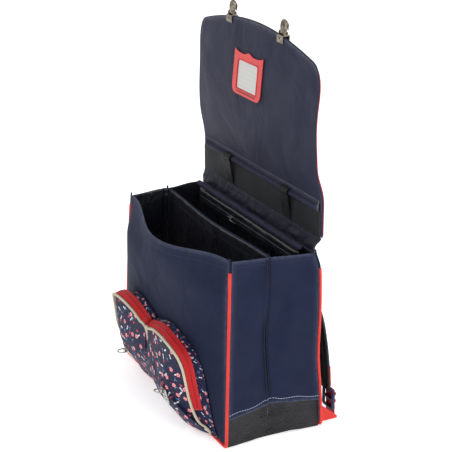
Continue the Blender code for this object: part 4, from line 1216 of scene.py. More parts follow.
@dataclass(frozen=True)
class Form:
    """The body's faces, which every cloth piece follows."""

    width: float = 0.380
    depth: float = 0.141
    height: float = 0.295
    corner: float = 0.006
    corner_share: float = 0.3
    front_flare: float = 0.006
    back_flare: float = 0.0165
    belly: float = 0.034
    belly_turn: float = 0.80
    sag: float = 0.0205
    divider_y: float = -0.005
    mouth_tilt: float = 0.005
    left_tuck: float = 0.019
    left_drop: float = 0.008
    tuck_start: float = 0.058
    fold_width: float = 0.042
    fold_depth: float = 0.0065
    stiff: float = 0.0025
    cloth: float = 0.0015
    gap: float = 0.0003
    piping: float = 0.0025
    panel_side: float = 0.0038
    panel_floor: float = 0.0061
    band_height: float = 0.047
    band_arch: float = 0.009
    band_lap: float = 0.008
    folds: tuple = (
        (0.00, 0.20, 0.00), (0.20, 1.00, -0.25), (0.34, 0.95, -0.10),
        (0.56, 0.70, 0.12), (0.78, 0.45, 0.05), (1.00, 0.30, 0.00),
    )
    back_profile: tuple = ((0.0, 1.0), (0.30, 0.82), (0.60, 0.66), (0.84, 0.56), (0.92, 0.46), (1.0, 0.0))

    def front_face(self, x: float, z: float) -> float:
        """Y of the front's outer face.

        Args:
            x: Place across, in metres.
            z: Height, in metres.

        Returns:
            The value.
        """
        rise = clamp(z / self.height)
        across = min(abs(2 * x / self.width), 1.0)
        at_mouth = smoothstep((rise - self.belly_turn) / (1 - self.belly_turn))
        broad = 1 - across ** 4
        narrow = 0.5 * (1 + math.cos(math.pi * across))
        belly = (broad + (narrow - broad) * at_mouth) * (1 - (1 - rise) ** 2)
        return -(self.depth / 2 + self.front_flare * (1 - rise) + self.belly * belly)

    def back_face(self, z: float) -> float:
        """Y of the back's outer face."""
        return self.depth / 2 + self.back_flare * interpolate(self.back_profile, 1, clamp(z / self.height))

    def corner_y(self, z: float) -> float:
        """Y of the back's side corners, which bow forward low down."""
        return self.back_face(z) - 0.004 * bump((z - 0.125) / 0.10)

    def slump(self, point: Sequence[float]) -> Vector:
        """Moves a point of the body as the open mouth tilts back and its left side tucks in.

        Args:
            point: The point before it.

        Returns:
            The point.
        """
        x, y, z = point
        rise = clamp(z / self.height)
        left = max(-2 * x / self.width, 0.0)
        tuck = self.left_tuck * left * rise ** 2
        tuck *= smoothstep((self.tuck_start - y) / (self.tuck_start - self.divider_y))
        drop = self.left_drop * left * rise ** 3
        drop *= smoothstep((self.divider_y - y) / (self.divider_y + self.depth / 2))
        tilt = -self.mouth_tilt * y / (self.depth / 2) * rise ** 3
        return Vector((x + tuck, y, z + tilt - drop))

    def outline(self, share: float, side: float, floor: float, top: float) -> tuple[float, float]:
        """Half width and height of the round-cornered outline at a share of the way up.

        Args:
            share: Share of the way along.
            side: Distance of the outline inside the body's side.
            floor: Height of the foot.
            top: Height of the top.

        Returns:
            The two values.
        """
        centre = self.width / 2 - side - self.corner
        if share < self.corner_share:
            angle = share / self.corner_share * math.pi / 2
            return centre + self.corner * math.sin(angle), floor + self.corner * (1 - math.cos(angle))
        rise = (share - self.corner_share) / (1 - self.corner_share)
        start = floor + self.corner
        return centre + self.corner, start + rise * (top - start)

    def fold_seam(self, z: float) -> float:
        """Y of the seam in a gusset's fold."""
        return self.divider_y - self.fold_width * interpolate(self.folds, 2, z / self.height) / 2

    def gusset_face(self, y: float, z: float) -> float:
        """X of the right gusset's outer face.

        Args:
            y: Place in depth, in metres.
            z: Height, in metres.

        Returns:
            The value.
        """
        away = (y - self.fold_seam(z)) / self.fold_width
        depth = self.fold_depth * interpolate(self.folds, 1, z / self.height)
        return self.width / 2 - depth * bump(away)

    def gusset_y(self, share: float, z: float) -> float:
        """Y at a share of the way from a gusset's front edge to its back.

        Args:
            share: Share of the way along.
            z: Height, in metres.

        Returns:
            The value.
        """
        front = self.front_face(self.width / 2, z) + self.piping + self.gap
        back = self.corner_y(z) - self.piping - self.gap
        return front + share * (back - front)

    def band_top(self, share: float) -> float:
        """Height of the gusset's lower hem."""
        return self.band_height + self.band_arch * math.sin(math.pi * share)


FORM = Form()


def slumped(place: Place, sign: int) -> Place:
    """A place on the right that becomes the slumped one on the side the sign names, seen as if on the right.

    Args:
        place: Gives a point as if on the right.
        sign: 1 for the right side, -1 for the left.

    Returns:
        The function that gives the slumped point, mirrored back.
    """

    def moved(u: float, v: float) -> Vector:
        """The slumped point."""
        point = Vector(place(u, v))
        point.x *= sign
        point = FORM.slump(point)
        point.x *= sign
        return point

    return moved


@dataclass
class BodyWalls:
    """Front and back panels, gussets, divider, hinge strip, hems and seams."""

    hem: float = 0.009
    hem_step: float = 0.0004
    crease: float = 0.0026
    ridge: float = 0.0058
    seam_cord: float = 0.0014
    fold_line: float = 0.0008

    def front_place(self, u: float, v: float) -> Vector:
        """Outer face of the front, with small folds and a turned hem at its mouth.

        Args:
            u: Share of the way across the cloth.
            v: Share of the way up the cloth.

        Returns:
            The point.
        """
        half_width, z = FORM.outline(v, FORM.panel_side, FORM.panel_floor, FORM.height)
        x = (2 * u - 1) * half_width
        sag = FORM.sag * math.cos(math.pi / 2 * (2 * u - 1)) ** 2
        free = math.sin(math.pi * u) * math.sin(math.pi * clamp(v))
        y = FORM.front_face(x, z) - ripple((x, 0.0, z * 0.7), 13.0, 0.0040, 4.0) * free
        y += ripple((x, 0.0, z), 42.0, 0.0008, 9.0) * free
        y -= self.hem_step * smoothstep((v - 1 + self.hem / FORM.height) * 200 + 0.5)
        return FORM.slump((x, y, z - sag * smoothstep(v)))

    def back_place(self, u: float, v: float) -> Vector:
        """Outer face of the back.

        Args:
            u: Share of the way across the cloth.
            v: Share of the way up the cloth.

        Returns:
            The point.
        """
        half_width, z = FORM.outline(v, FORM.panel_side, FORM.panel_floor, FORM.height)
        side = abs(1 - 2 * u) ** 6
        y = FORM.back_face(z) * (1 - side) + FORM.corner_y(z) * side
        return FORM.slump(((1 - 2 * u) * half_width, y, z))

    def gusset_place(self, u: float, v: float) -> Vector:
        """Outer face of the right gusset, with the seam's crease, small folds and hems at foot and mouth.

        Args:
            u: Share of the way across the cloth.
            v: Share of the way up the cloth.

        Returns:
            The point.
        """
        foot = FORM.band_top(u)
        z = foot + v * (FORM.height - foot)
        y = FORM.gusset_y(u, z)
        seam = FORM.fold_seam(z)
        x = FORM.gusset_face(y, z)
        x -= self.crease * bump((y - seam) / 0.0035)
        x += self.crease * 0.6 * bump((y - seam + 0.006) / 0.004)
        free = math.sin(math.pi * u) * math.sin(math.pi * v)
        x += ripple((0.0, y, z * 0.45), 24.0, 0.0052, 2.0) * free - 0.0008
        pucker = bump((z - foot - 0.004) / 0.012)
        x += ripple((0.0, y, z * 0.3), 55.0, 0.0022, 5.0) * pucker * math.sin(math.pi * u)
        return Vector((x, y, z))

    def divider_place(self, u: float, v: float) -> Vector:
        """Front face of the divider, soft and wavy.

        Args:
            u: Share of the way across the cloth.
            v: Share of the way up the cloth.

        Returns:
            The point.
        """
        floor = 0.0033
        z = floor + v * (FORM.height - floor)
        layers = 2 if z < FORM.band_height + FORM.band_arch + FORM.band_lap + FORM.gap else 1
        half_width = FORM.gusset_face(FORM.fold_seam(z), max(z, FORM.band_height))
        half_width -= layers * (FORM.cloth + 0.0007) + 2 * FORM.gap + self.crease
        if z < FORM.corner:
            half_width -= FORM.corner * (1 - z / FORM.corner) ** 2
        across = 2 * u - 1
        mid = math.cos(math.pi / 2 * across) ** 2
        y = FORM.fold_seam(z) - 0.005 * mid * v
        free = math.sin(math.pi * u) * math.sin(math.pi * clamp(v, 0.0, 0.97))
        y += ripple((across * half_width, 0.0, z), 12.0, 0.005, 7.0) * free
        return FORM.slump((across * half_width, y, z - 0.003 * mid * smoothstep(v)))

    def hinge_place(self, u: float, v: float) -> Vector:
        """Front face of the cloth hinge, with soft creases along it.

        Args:
            u: Share of the way across the cloth.
            v: Share of the way up the cloth.

        Returns:
            The point.
        """
        low_y = FORM.back_face(FORM.height) - FORM.stiff
        low_z = FORM.slump((0.0, low_y, FORM.height)).z + 2 * FORM.gap
        high_y, high_z = 0.0759, 0.314 - FORM.gap
        low_half = FORM.width / 2 - FORM.panel_side
        half_width = low_half + v * (0.194 - low_half)
        x = (2 * u - 1) * half_width
        free = math.sin(math.pi * v)
        y = low_y + (high_y - low_y) * v - abs(ripple((x * 0.4, 0.0, v * 0.024), 60.0, 0.0060, 3.0)) * free
        y += ripple((x, 0.0, v * 0.024), 130.0, 0.0012, 8.0) * free
        return Vector((x, y - 0.0012 * free, low_z + v * (high_z - low_z)))

    def build(self) -> None:
        """Makes and dresses every wall."""
        both = (Finishes.NAVY, Finishes.LINING)
        front = Cloth("front_panel_cloth", 110, 70, FORM.stiff).build(self.front_place, both)
        settle(front, ["front_panel"])
        back = Cloth("back_panel_cloth", 60, 60, FORM.stiff).build(self.back_place, both)
        settle(back, ["back_panel"])
        divider = Cloth("divider_cloth", 70, 60, FORM.cloth).build(self.divider_place, (Finishes.LINING,))
        settle(divider, ["divider"])
        hinge = Cloth("hinge_cloth", 150, 24, 0.0018).build(self.hinge_place, (Finishes.HINGE,))
        settle(hinge, ["hinge_strip"])
        for side, sign in SIDES:
            place = slumped(self.gusset_place, sign)
            gusset = Cloth(f"gusset_{side}_cloth", 90, 70, FORM.cloth).build(place, both, sign)
            settle(gusset, [f"gusset_{side}"])
            self.hem_stitches(side, sign, place)
            self.fold_lines(side, sign, place)
            self.seams(side, sign)
        self.mouth_hems()

    def hem_stitches(self, side: str, sign: int, place: Place) -> None:
        """Lays the silver row above the gusset's lower hem.

        Args:
            side: Name of the side.
            sign: 1 for the right side, -1 for the left.
            place: The gusset's outer face.
        """
        points = []
        outs = []
        for share in shares(60):
            u = 0.015 + 0.97 * share
            height = 0.0078 + 0.0011 * math.sin(u * 19.0) + 0.0018 * bump((u - 0.52) / 0.08)
            v = height / (FORM.height - FORM.band_top(u))
            point, out = along_face(place, (u, v), (u, v + 0.002), 1, 0.0004, sign)
            points.append(point[0])
            outs.append(out[0])
        Row(f"hem_stitches_{side}", RowKind.HEM_STITCH).lay([(points, outs)], Finishes.SILVER_THREAD)

    def fold_lines(self, side: str, sign: int, place: Place) -> None:
        """Lays the fold's seam and ridge as dark cords, partly the seam line and partly painted shade of the crease,
        and the rows of stitches beside both edges.

        Args:
            side: Name of the side.
            sign: 1 for the right side, -1 for the left.
            place: The gusset's outer face.
        """
        foot = FORM.band_top(0.5)
        # Both cords take the hinge's dark cloth: they mark the fold's double seam line and are darkened as painted
        # shade of the crease.
        for name, away, proud in (("seam", 0.0, 0.0004 - self.crease), ("edge", -self.ridge, self.crease * 0.5)):
            fold = []
            for share in shares(40):
                z = foot + 0.020 + (FORM.height - 0.022 - foot) * share
                y = FORM.fold_seam(z) + away
                fold.append(FORM.slump(((FORM.gusset_face(y, z) + proud) * sign, y, z)))
            settle(Cord(f"fold_{name}_{side}", self.fold_line, 8).build(fold, Finishes.HINGE))
        edges = [along_face(place, (u, 0.02), (u, 0.97), 60, 0.0001, sign) for u in (0.04, 0.955)]
        Row(f"edge_stitches_{side}", RowKind.SEAM_STITCH).lay(edges, Finishes.NAVY_THREAD)

    def seams(self, side: str, sign: int) -> None:
        """Bound seams above the piping at both corners of a gusset, each ending in a small ear.

        Args:
            side: Name of the side.
            sign: 1 for the right side, -1 for the left.
        """
        top = FORM.height
        routes = (
            ("front", lambda z: FORM.front_face(FORM.width / 2, z), top - 0.017),
            ("back", FORM.back_face, top - 0.027),
        )
        for name, face, low in routes:
            points = []
            for share in shares(10):
                z = low + (top + 0.0042 - low) * share
                inward = 0.0012 + 0.0012 * smoothstep((z - top) / 0.004)
                points.append(FORM.slump(((FORM.width / 2 - inward) * sign, face(z), z)))
            settle(Cord(f"{name}_seam_{side}", self.seam_cord, 10).build(points, Finishes.NAVY))
        z = top + 0.001
        x = FORM.gusset_face(FORM.fold_seam(top), top) - 0.0012
        ear = [FORM.slump(((x - 0.0005 * step) * sign, FORM.divider_y - 0.0004 * step, z - 0.010 + 0.0026 * step))
               for step in range(6)]
        settle(Cord(f"divider_ear_{side}", 0.0015, 10).build(ear, Finishes.NAVY))

    def mouth_hems(self) -> None:
        """Edge of the divider and stitch rows round the mouth."""
        middle = Vector((0.0, FORM.cloth / 2, 0.0003))
        edge = [self.divider_place(0.004 + 0.992 * share, 1.0) + middle for share in shares(60)]
        settle(Cord("divider_edge", 0.0012, 10).build(edge, Finishes.NAVY))
        rows = [along_face(self.front_place, (0.01, 0.966), (0.99, 0.966), 60, 0.0002)]
        for _, sign in SIDES:
            rows.append(along_face(slumped(self.gusset_place, sign), (0.02, 0.962), (0.98, 0.962), 30, 0.0002, sign))
        Row("mouth_stitches", RowKind.SEAM_STITCH).lay(rows, Finishes.NAVY_THREAD)
        inner = [along_face(self.divider_place, (0.02, 0.94), (0.98, 0.94), 50, 0.0003)]
        Row("divider_stitches", RowKind.RAISED_STITCH).lay(inner, Finishes.NAVY_THREAD)


@dataclass
class BaseBands:
    """Black coated bands low on the sides, and the base."""

    lift: float = 0.0035

    def place(self, u: float, v: float) -> Vector:
        """Outer face of the right band, dented, its foot drawn up a little at mid-depth.

        Args:
            u: Share of the way across the cloth.
            v: Share of the way up the cloth.

        Returns:
            The point.
        """
        side = FORM.cloth + FORM.gap + FORM.fold_depth * FORM.folds[0][1] * bump(2 * u - 1)
        half_width, z = FORM.outline(v, side, 0.0, FORM.band_top(u) + FORM.band_lap)
        y = FORM.gusset_y(u, z)
        inner = FORM.gusset_face(y, max(z, FORM.band_height)) - FORM.cloth - 0.0007 - BodyWalls.crease
        free = math.sin(math.pi * u) * math.sin(math.pi * clamp(v * 1.1))
        dent = abs(ripple((0.0, y, z), 34.0, 0.0105, 6.0)) + abs(ripple((0.0, y, z * 1.5), 75.0, 0.0036, 3.0))
        x = min(half_width, inner) - dent * free
        z += self.lift * math.sin(math.pi * u) ** 2 * (1 - smoothstep(z / 0.03))
        return Vector((x, y, z))

    def build(self) -> None:
        """Makes and dresses both bands, and gives the base its finish."""
        for side, sign in SIDES:
            place = slumped(self.place, sign)
            band = Cloth(f"base_band_{side}_cloth", 110, 44, FORM.cloth).build(place, (Finishes.BLACK,), sign)
            settle(band, [f"base_band_{side}"])
        refined("base_panel", "board", Finishes.BLACK, 0.0006)


@dataclass
class Piping:
    """Orange-red piping round the front and the back frame."""

    back_radius: float = 0.0021
    sink: float = 0.001
    foot: float = 0.003
    front_drop: float = 0.017
    back_drop: float = 0.027
    steps: int = 60

    def route(self, face: Callable[[float], float], drop: float) -> list[Vector]:
        """Points down one side, round the foot and up the other.

        Args:
            face: Y of the frame at a height.
            drop: How far below the mouth the piping ends.

        Returns:
            The points.
        """
        points = []
        for share in shares(self.steps):
            half_width, z = FORM.outline(1 - share, self.sink, self.foot, FORM.height - drop)
            points.append(Vector((half_width, face(z), z)))
        both = points + mirrored(list(reversed(points)), -1)
        return spaced([FORM.slump(point) for point in both], 0.004)

    def build(self) -> None:
        """Makes and dresses both pipings."""
        front = self.route(lambda z: FORM.front_face(FORM.width / 2, z), self.front_drop)
        back = self.route(FORM.corner_y, self.back_drop)
        for name, points, radius in (("front", front, FORM.piping), ("back", back, self.back_radius)):
            cord = Cord(f"piping_{name}_cord", radius).build(points, Finishes.EDGE_RED)
            settle(cord, [f"piping_{name}"])


@dataclass
class Pockets:
    """Heart-topped front pockets with their zips, pipings and catches."""

    width: float = 0.160
    height: float = 0.158
    reach: float = 0.0605
    gusset_bulge: float = 0.003
    seat: float = 0.0006
    centre: tuple = (0.47, 0.52)
    rim: float = 0.36
    foot_blend: float = 0.25
    left_tuck: float = 0.45
    left_top: float = 0.62
    lobe_lift: float = 0.008
    lobe_foot: float = 0.45
    zip_inner: float = 0.45
    zip_outer: float = 0.95
    zip_from: float = 1.9
    zip_to: float = 11.7
    zip_seat: float = 0.0011
    tape: float = 0.0012
    piping_from: float = 1.2
    piping_to: float = 13.9
    piping: float = 0.0021
    around_rows: tuple = (
        (0.026, 0.010, 0.026, 0.020, 0.40), (0.026, 0.440, 0.026, 0.420, 0.84), (0.034, 0.880, 0.026, 0.820, 0.84),
        (0.120, 0.950, 0.110, 0.865, 0.86), (0.270, 0.995, 0.260, 0.915, 0.90), (0.420, 1.000, 0.420, 0.935, 0.94),
        (0.570, 0.965, 0.570, 0.930, 0.96), (0.700, 0.910, 0.700, 0.905, 0.955), (0.800, 0.840, 0.775, 0.840, 0.88),
        (0.865, 0.740, 0.810, 0.740, 0.80), (0.900, 0.600, 0.825, 0.600, 0.735), (0.925, 0.440, 0.835, 0.430, 0.65),
        (0.955, 0.250, 0.830, 0.250, 0.49), (0.980, 0.110, 0.860, 0.110, 0.33), (1.000, 0.015, 0.950, 0.030, 0.24),
        (0.660, 0.010, 0.660, 0.020, 0.50), (0.330, 0.010, 0.330, 0.020, 0.48),
    )

    def around(self, share: float) -> list[float]:
        """The row at a share of the way round, smooth and closed.

        Args:
            share: Share of the way along.

        Returns:
            The values.
        """
        count = len(self.around_rows)
        place = (share % 1.0) * count
        index = int(place)
        rows = [self.around_rows[(index + step) % count] for step in (-1, 0, 1, 2)]
        values = []
        for column in range(5):
            picks = [(row[column], step) for row, step in zip(rows, (-1, 0, 1, 2))]
            values.append(max(blend(*picks, place - index), 0.0))
        return values

    def point(self, share: float, inward: float, sign: int) -> Vector:
        """Outer face of a pocket as if on the right.

        Args:
            share: Way round it, from its valley's foot over the lobe.
            inward: 0 at the seam, the rim's share at the rim, 1 at the centre.
            sign: 1 for the right pocket, -1 for the left.

        Returns:
            The point before the body's slump.
        """
        seam_across, seam_up, rim_across, rim_up, rim_reach = self.around(share)
        on_gusset = inward < self.rim
        part = inward / self.rim if on_gusset else (inward - self.rim) / (1 - self.rim)
        start = (seam_across, seam_up) if on_gusset else (rim_across, rim_up)
        end = (rim_across, rim_up) if on_gusset else self.centre
        up = start[1] + part * (end[1] - start[1])
        valley = self.width * self.around_rows[0][0]
        x = max((start[0] + part * (end[0] - start[0])) * self.width, valley)
        z = up * self.height + FORM.panel_floor * (1 - smoothstep(up / self.foot_blend))
        fullness = 1.0
        if sign < 0:
            fullness -= self.left_tuck * (1 - smoothstep(up / self.left_top))
            lobe = smoothstep((up - self.lobe_foot) / (1 - self.lobe_foot))
            z += self.lobe_lift * lobe * smoothstep(x / self.width)
        if on_gusset:
            z += self.gusset_bulge * math.sin(math.pi * part) * smoothstep(2 * seam_up)
            seam_y = FORM.front_face(x, z) - FORM.cloth - self.seat
            y = seam_y + part * (-FORM.depth / 2 - self.reach * rim_reach * fullness - seam_y)
        else:
            swell = rim_reach + (1 - rim_reach) * math.sin(math.pi / 2 * part)
            y = -FORM.depth / 2 - self.reach * swell * fullness
        return Vector((x, min(y, FORM.front_face(x, z) - FORM.cloth - self.seat), z))

    def outward(self, share: float, inward: float, sign: int) -> Vector:
        """Direction straight out of the pocket's face.

        Args:
            share: Share of the way along.
            inward: Share of the way to the middle.
            sign: 1 for the right side, -1 for the left.

        Returns:
            The point.
        """
        step = 0.004
        along = self.point(share + step, inward, sign) - self.point(share - step, inward, sign)
        across = self.point(share, inward + step, sign) - self.point(share, inward - step, sign)
        return across.cross(along).normalized()

    def shell_place(self, sign: int) -> Place:
        """Outer face of a pocket's cloth, lightly puckered by its seams.

        Args:
            sign: 1 for the right side, -1 for the left.

        Returns:
            The function that gives the point.
        """

        def place(u: float, v: float) -> Vector:
            """The point at (u, v)."""
            share = 1 - u
            inward = min(v, 0.9999)
            point = self.point(share, inward, sign)
            free = smoothstep(abs(inward - self.rim) / 0.12) * smoothstep(inward / 0.1)
            free *= 1 - smoothstep((v - 0.8) * 5)
            point.y += ripple(point, 38.0, 0.0011, 3.0 + sign) * free
            return point

        return place

    def chart(self, u: float, v: float, point: Vector) -> tuple[float, float]:
        """Place on the flat printed cloth: round the rim for the gusset, seen straight for the face.

        Args:
            u: Share of the way across the cloth.
            v: Share of the way up the cloth.
            point: Place in space.

        Returns:
            The two values.
        """
        if v < self.rim:
            return (1 - u) * 0.62 + 0.5, v / self.rim * 0.048
        return point.x, point.z - 0.25 * (point.y + FORM.depth / 2)

    def zip_place(self, sign: int) -> Place:
        """Outer face of a zip's tape: two flat halves with a bead each side of the slit.

        Args:
            sign: 1 for the right side, -1 for the left.

        Returns:
            The function that gives the point.
        """
        count = len(self.around_rows)
        start, end = self.zip_from / count, self.zip_to / count

        def place(u: float, v: float) -> Vector:
            """The point at (u, v)."""
            share = end + (start - end) * u
            inward = self.rim * (self.zip_inner + (self.zip_outer - self.zip_inner) * v)
            bead = 0.0007 * (bump((v - 0.34) / 0.11) + bump((v - 0.56) / 0.11))
            slit = 0.0005 * bump((v - 0.45) / 0.05)
            out = self.outward(share, inward, sign)
            return self.point(share, inward, sign) + out * (self.zip_seat + self.tape + bead - slit)

        return place

    def build(self) -> None:
        """Makes and dresses both pockets."""
        for side, sign in SIDES:
            pocket = Cloth(f"pocket_{side}_cloth", 170, 40, FORM.cloth).build(
                slumped(self.shell_place(sign), sign), (Finishes.PRINT, Finishes.LINING), sign, self.chart
            )
            pocket.modifiers.new("closed_middle", "WELD").merge_threshold = 0.00003
            pocket.modifiers.move(1, 0)
            settle(pocket, [f"pocket_{side}"])
            self.add_zip(side, sign)
            self.add_piping(side, sign)

    def add_zip(self, side: str, sign: int) -> None:
        """Tape and coil of one zip.

        Args:
            side: Name of the side.
            sign: 1 for the right pocket, -1 for the left.
        """
        place = slumped(self.zip_place(sign), sign)
        tape = Cloth(f"pocket_zip_{side}_tape", 90, 18, self.tape, 0.0015).build(place, (Finishes.ZIP_RED,), sign)
        settle(tape, [f"pocket_zip_{side}"])
        middle = along_face(place, (0.01, 0.45), (0.99, 0.45), 90, 0.0004, sign)
        Row(f"pocket_zip_{side}_coil", RowKind.POCKET_COIL).lay([middle], Finishes.COIL_RED)
        rows = [along_face(place, (0.01, v), (0.99, v), 90, 0.0002, sign) for v in (0.08, 0.78, 0.93)]
        Row(f"pocket_zip_{side}_stitches", RowKind.TAPE_STITCH).lay(rows, Finishes.RED_THREAD)

    def add_piping(self, side: str, sign: int) -> None:
        """Piping on one pocket's rim, from the valley over the lobe to the front corner's foot.

        Args:
            side: Name of the side.
            sign: 1 for the right pocket, -1 for the left.
        """
        count = len(self.around_rows)
        beside = self.rim / 18
        points = []
        for part in shares(140):
            share = (self.piping_from + (self.piping_to - self.piping_from) * part) / count
            lift = self.outward(share, self.rim - beside, sign) + self.outward(share, self.rim + beside, sign)
            sunk = 1 - smoothstep(share * count - 1.35)
            point = self.point(share, self.rim, sign) + lift.normalized() * (self.piping + 0.0007)
            point.y += 0.008 * sunk
            point.x = max(point.x, self.piping + 0.0004)
            points.append(FORM.slump((point.x * sign, point.y, point.z)))
        cord = Cord(f"pocket_piping_{side}_cord", self.piping).build(spaced(points, 0.0025), Finishes.BEIGE)
        settle(cord, [f"pocket_piping_{side}"])


@dataclass
class Catches:
    """Metal plates low on the pockets and the rings that swing on them."""

    wire: float = 0.001

    def build(self) -> None:
        """Softens the plates' edges and draws the rings' wire round."""
        for side, _ in SIDES:
            refined(f"catch_plate_{side}", "metal", Finishes.SILVER, 0.00025)
            ring = self.wire_ring(side, hinge(f"ring_{side}_swing"), *corners(f"catch_ring_{side}"))
            settle(ring, [f"catch_ring_{side}"], f"ring_{side}")

    def wire_ring(self, side: str, axis: Vector, low: Vector, high: Vector) -> bpy.types.Object:
        """A smooth D-shaped ring in the place of the solid one.

        Args:
            side: Name of the side.
            axis: Point on the ring's hinge line.
            low: Lowest corner of the solid ring.
            high: Highest corner of the solid ring.

        Returns:
            The object.
        """
        half = (high.x - low.x) / 2 - self.wire
        tip = Vector((axis.x, low.y + self.wire, high.z - self.wire))
        forward = tip - axis
        points = []
        steps = 40
        for index in range(steps + 1):
            angle = math.pi * index / steps
            reach = math.sin(angle) ** 0.8 if 0 < index < steps else 0.0
            points.append(axis + Vector((half * math.cos(angle), 0.0, 0.0)) + forward * reach)
        back = [points[-1].lerp(points[0], index / 12) for index in range(1, 12)]
        return Cord(f"catch_ring_{side}_wire", self.wire, 12, True).build(points + back, Finishes.SILVER)


@dataclass
class Sleeve:
    """Padded sleeve in the rear compartment, its roll, zip and slider."""

    thickness: float = 0.009
    foot: float = 0.030
    half_width: float = 0.170
    roll: float = 0.0045
    roll_rise: float = 0.004
    stand: float = 0.010

    @property
    def top(self) -> float:
        """Height of the pad's upper edge, just under the roll."""
        return FORM.height + self.roll_rise - self.roll - 0.0012

    def face(self, z: float) -> float:
        """Y of the sleeve's front face.

        Args:
            z: Height, in metres.

        Returns:
            The value.
        """
        low = FORM.back_face(self.foot) - FORM.stiff - FORM.gap - self.thickness
        high = FORM.back_face(FORM.height) - FORM.stiff - self.stand - self.thickness
        return low + (high - low) * (z - self.foot) / (self.top - self.foot)

    def panel_place(self, u: float, v: float) -> Vector:
        """Front face of the pad before it swells, drawn in a little at its rim."""
        z = self.foot + v * (self.top - self.foot)
        return FORM.slump(((2 * u - 1) * (self.half_width - 0.001), self.face(z) + 0.0008, z))

    def tape_place(self, u: float, v: float) -> Vector:
        """Front face of the zip's tape.

        Args:
            u: Share of the way across the cloth.
            v: Share of the way up the cloth.

        Returns:
            The point.
        """
        z = FORM.height + self.roll_rise - 0.018 - 0.014 + v * 0.014
        bead = 0.0005 * (bump((v - 0.4) / 0.1) + bump((v - 0.6) / 0.1))
        return FORM.slump(((2 * u - 1) * (self.half_width - 0.012), self.face(z) - FORM.gap - 0.0022 - bead, z))

    def build(self) -> None:
        """Makes and dresses the sleeve."""
        panel = Cloth("sleeve_pad", 30, 26, self.thickness - 0.0018).build(self.panel_place, (Finishes.LINING,))
        Padding(0.0045, 4.0, 16, 0.0012).swell(panel)
        settle(panel, ["sleeve_panel"])
        y = self.face(FORM.height + self.roll_rise) + self.thickness / 2
        z = FORM.height + self.roll_rise
        points = []
        for share in shares(80):
            x = (2 * share - 1) * self.half_width
            shift = ripple((x, 0, 0), 25.0, 0.0008, 2.0)
            points.append(FORM.slump((x, y + shift, z + shift)))
        settle(Cord("sleeve_roll_cover", self.roll, 16).build(points, Finishes.GREY_NAVY),
               ["sleeve_roll"])
        tape = Cloth("sleeve_zip_tape", 80, 14, 0.0012, 0.001).build(self.tape_place, (Finishes.LINING,))
        settle(tape, ["sleeve_zip"])
        middle = along_face(self.tape_place, (0.01, 0.5), (0.99, 0.5), 80, 0.0003)
        Row("sleeve_zip_coil", RowKind.SLEEVE_COIL).lay([middle], Finishes.BLACK)
        refined("sleeve_slider", "metal", Finishes.SILVER, 0.0004)


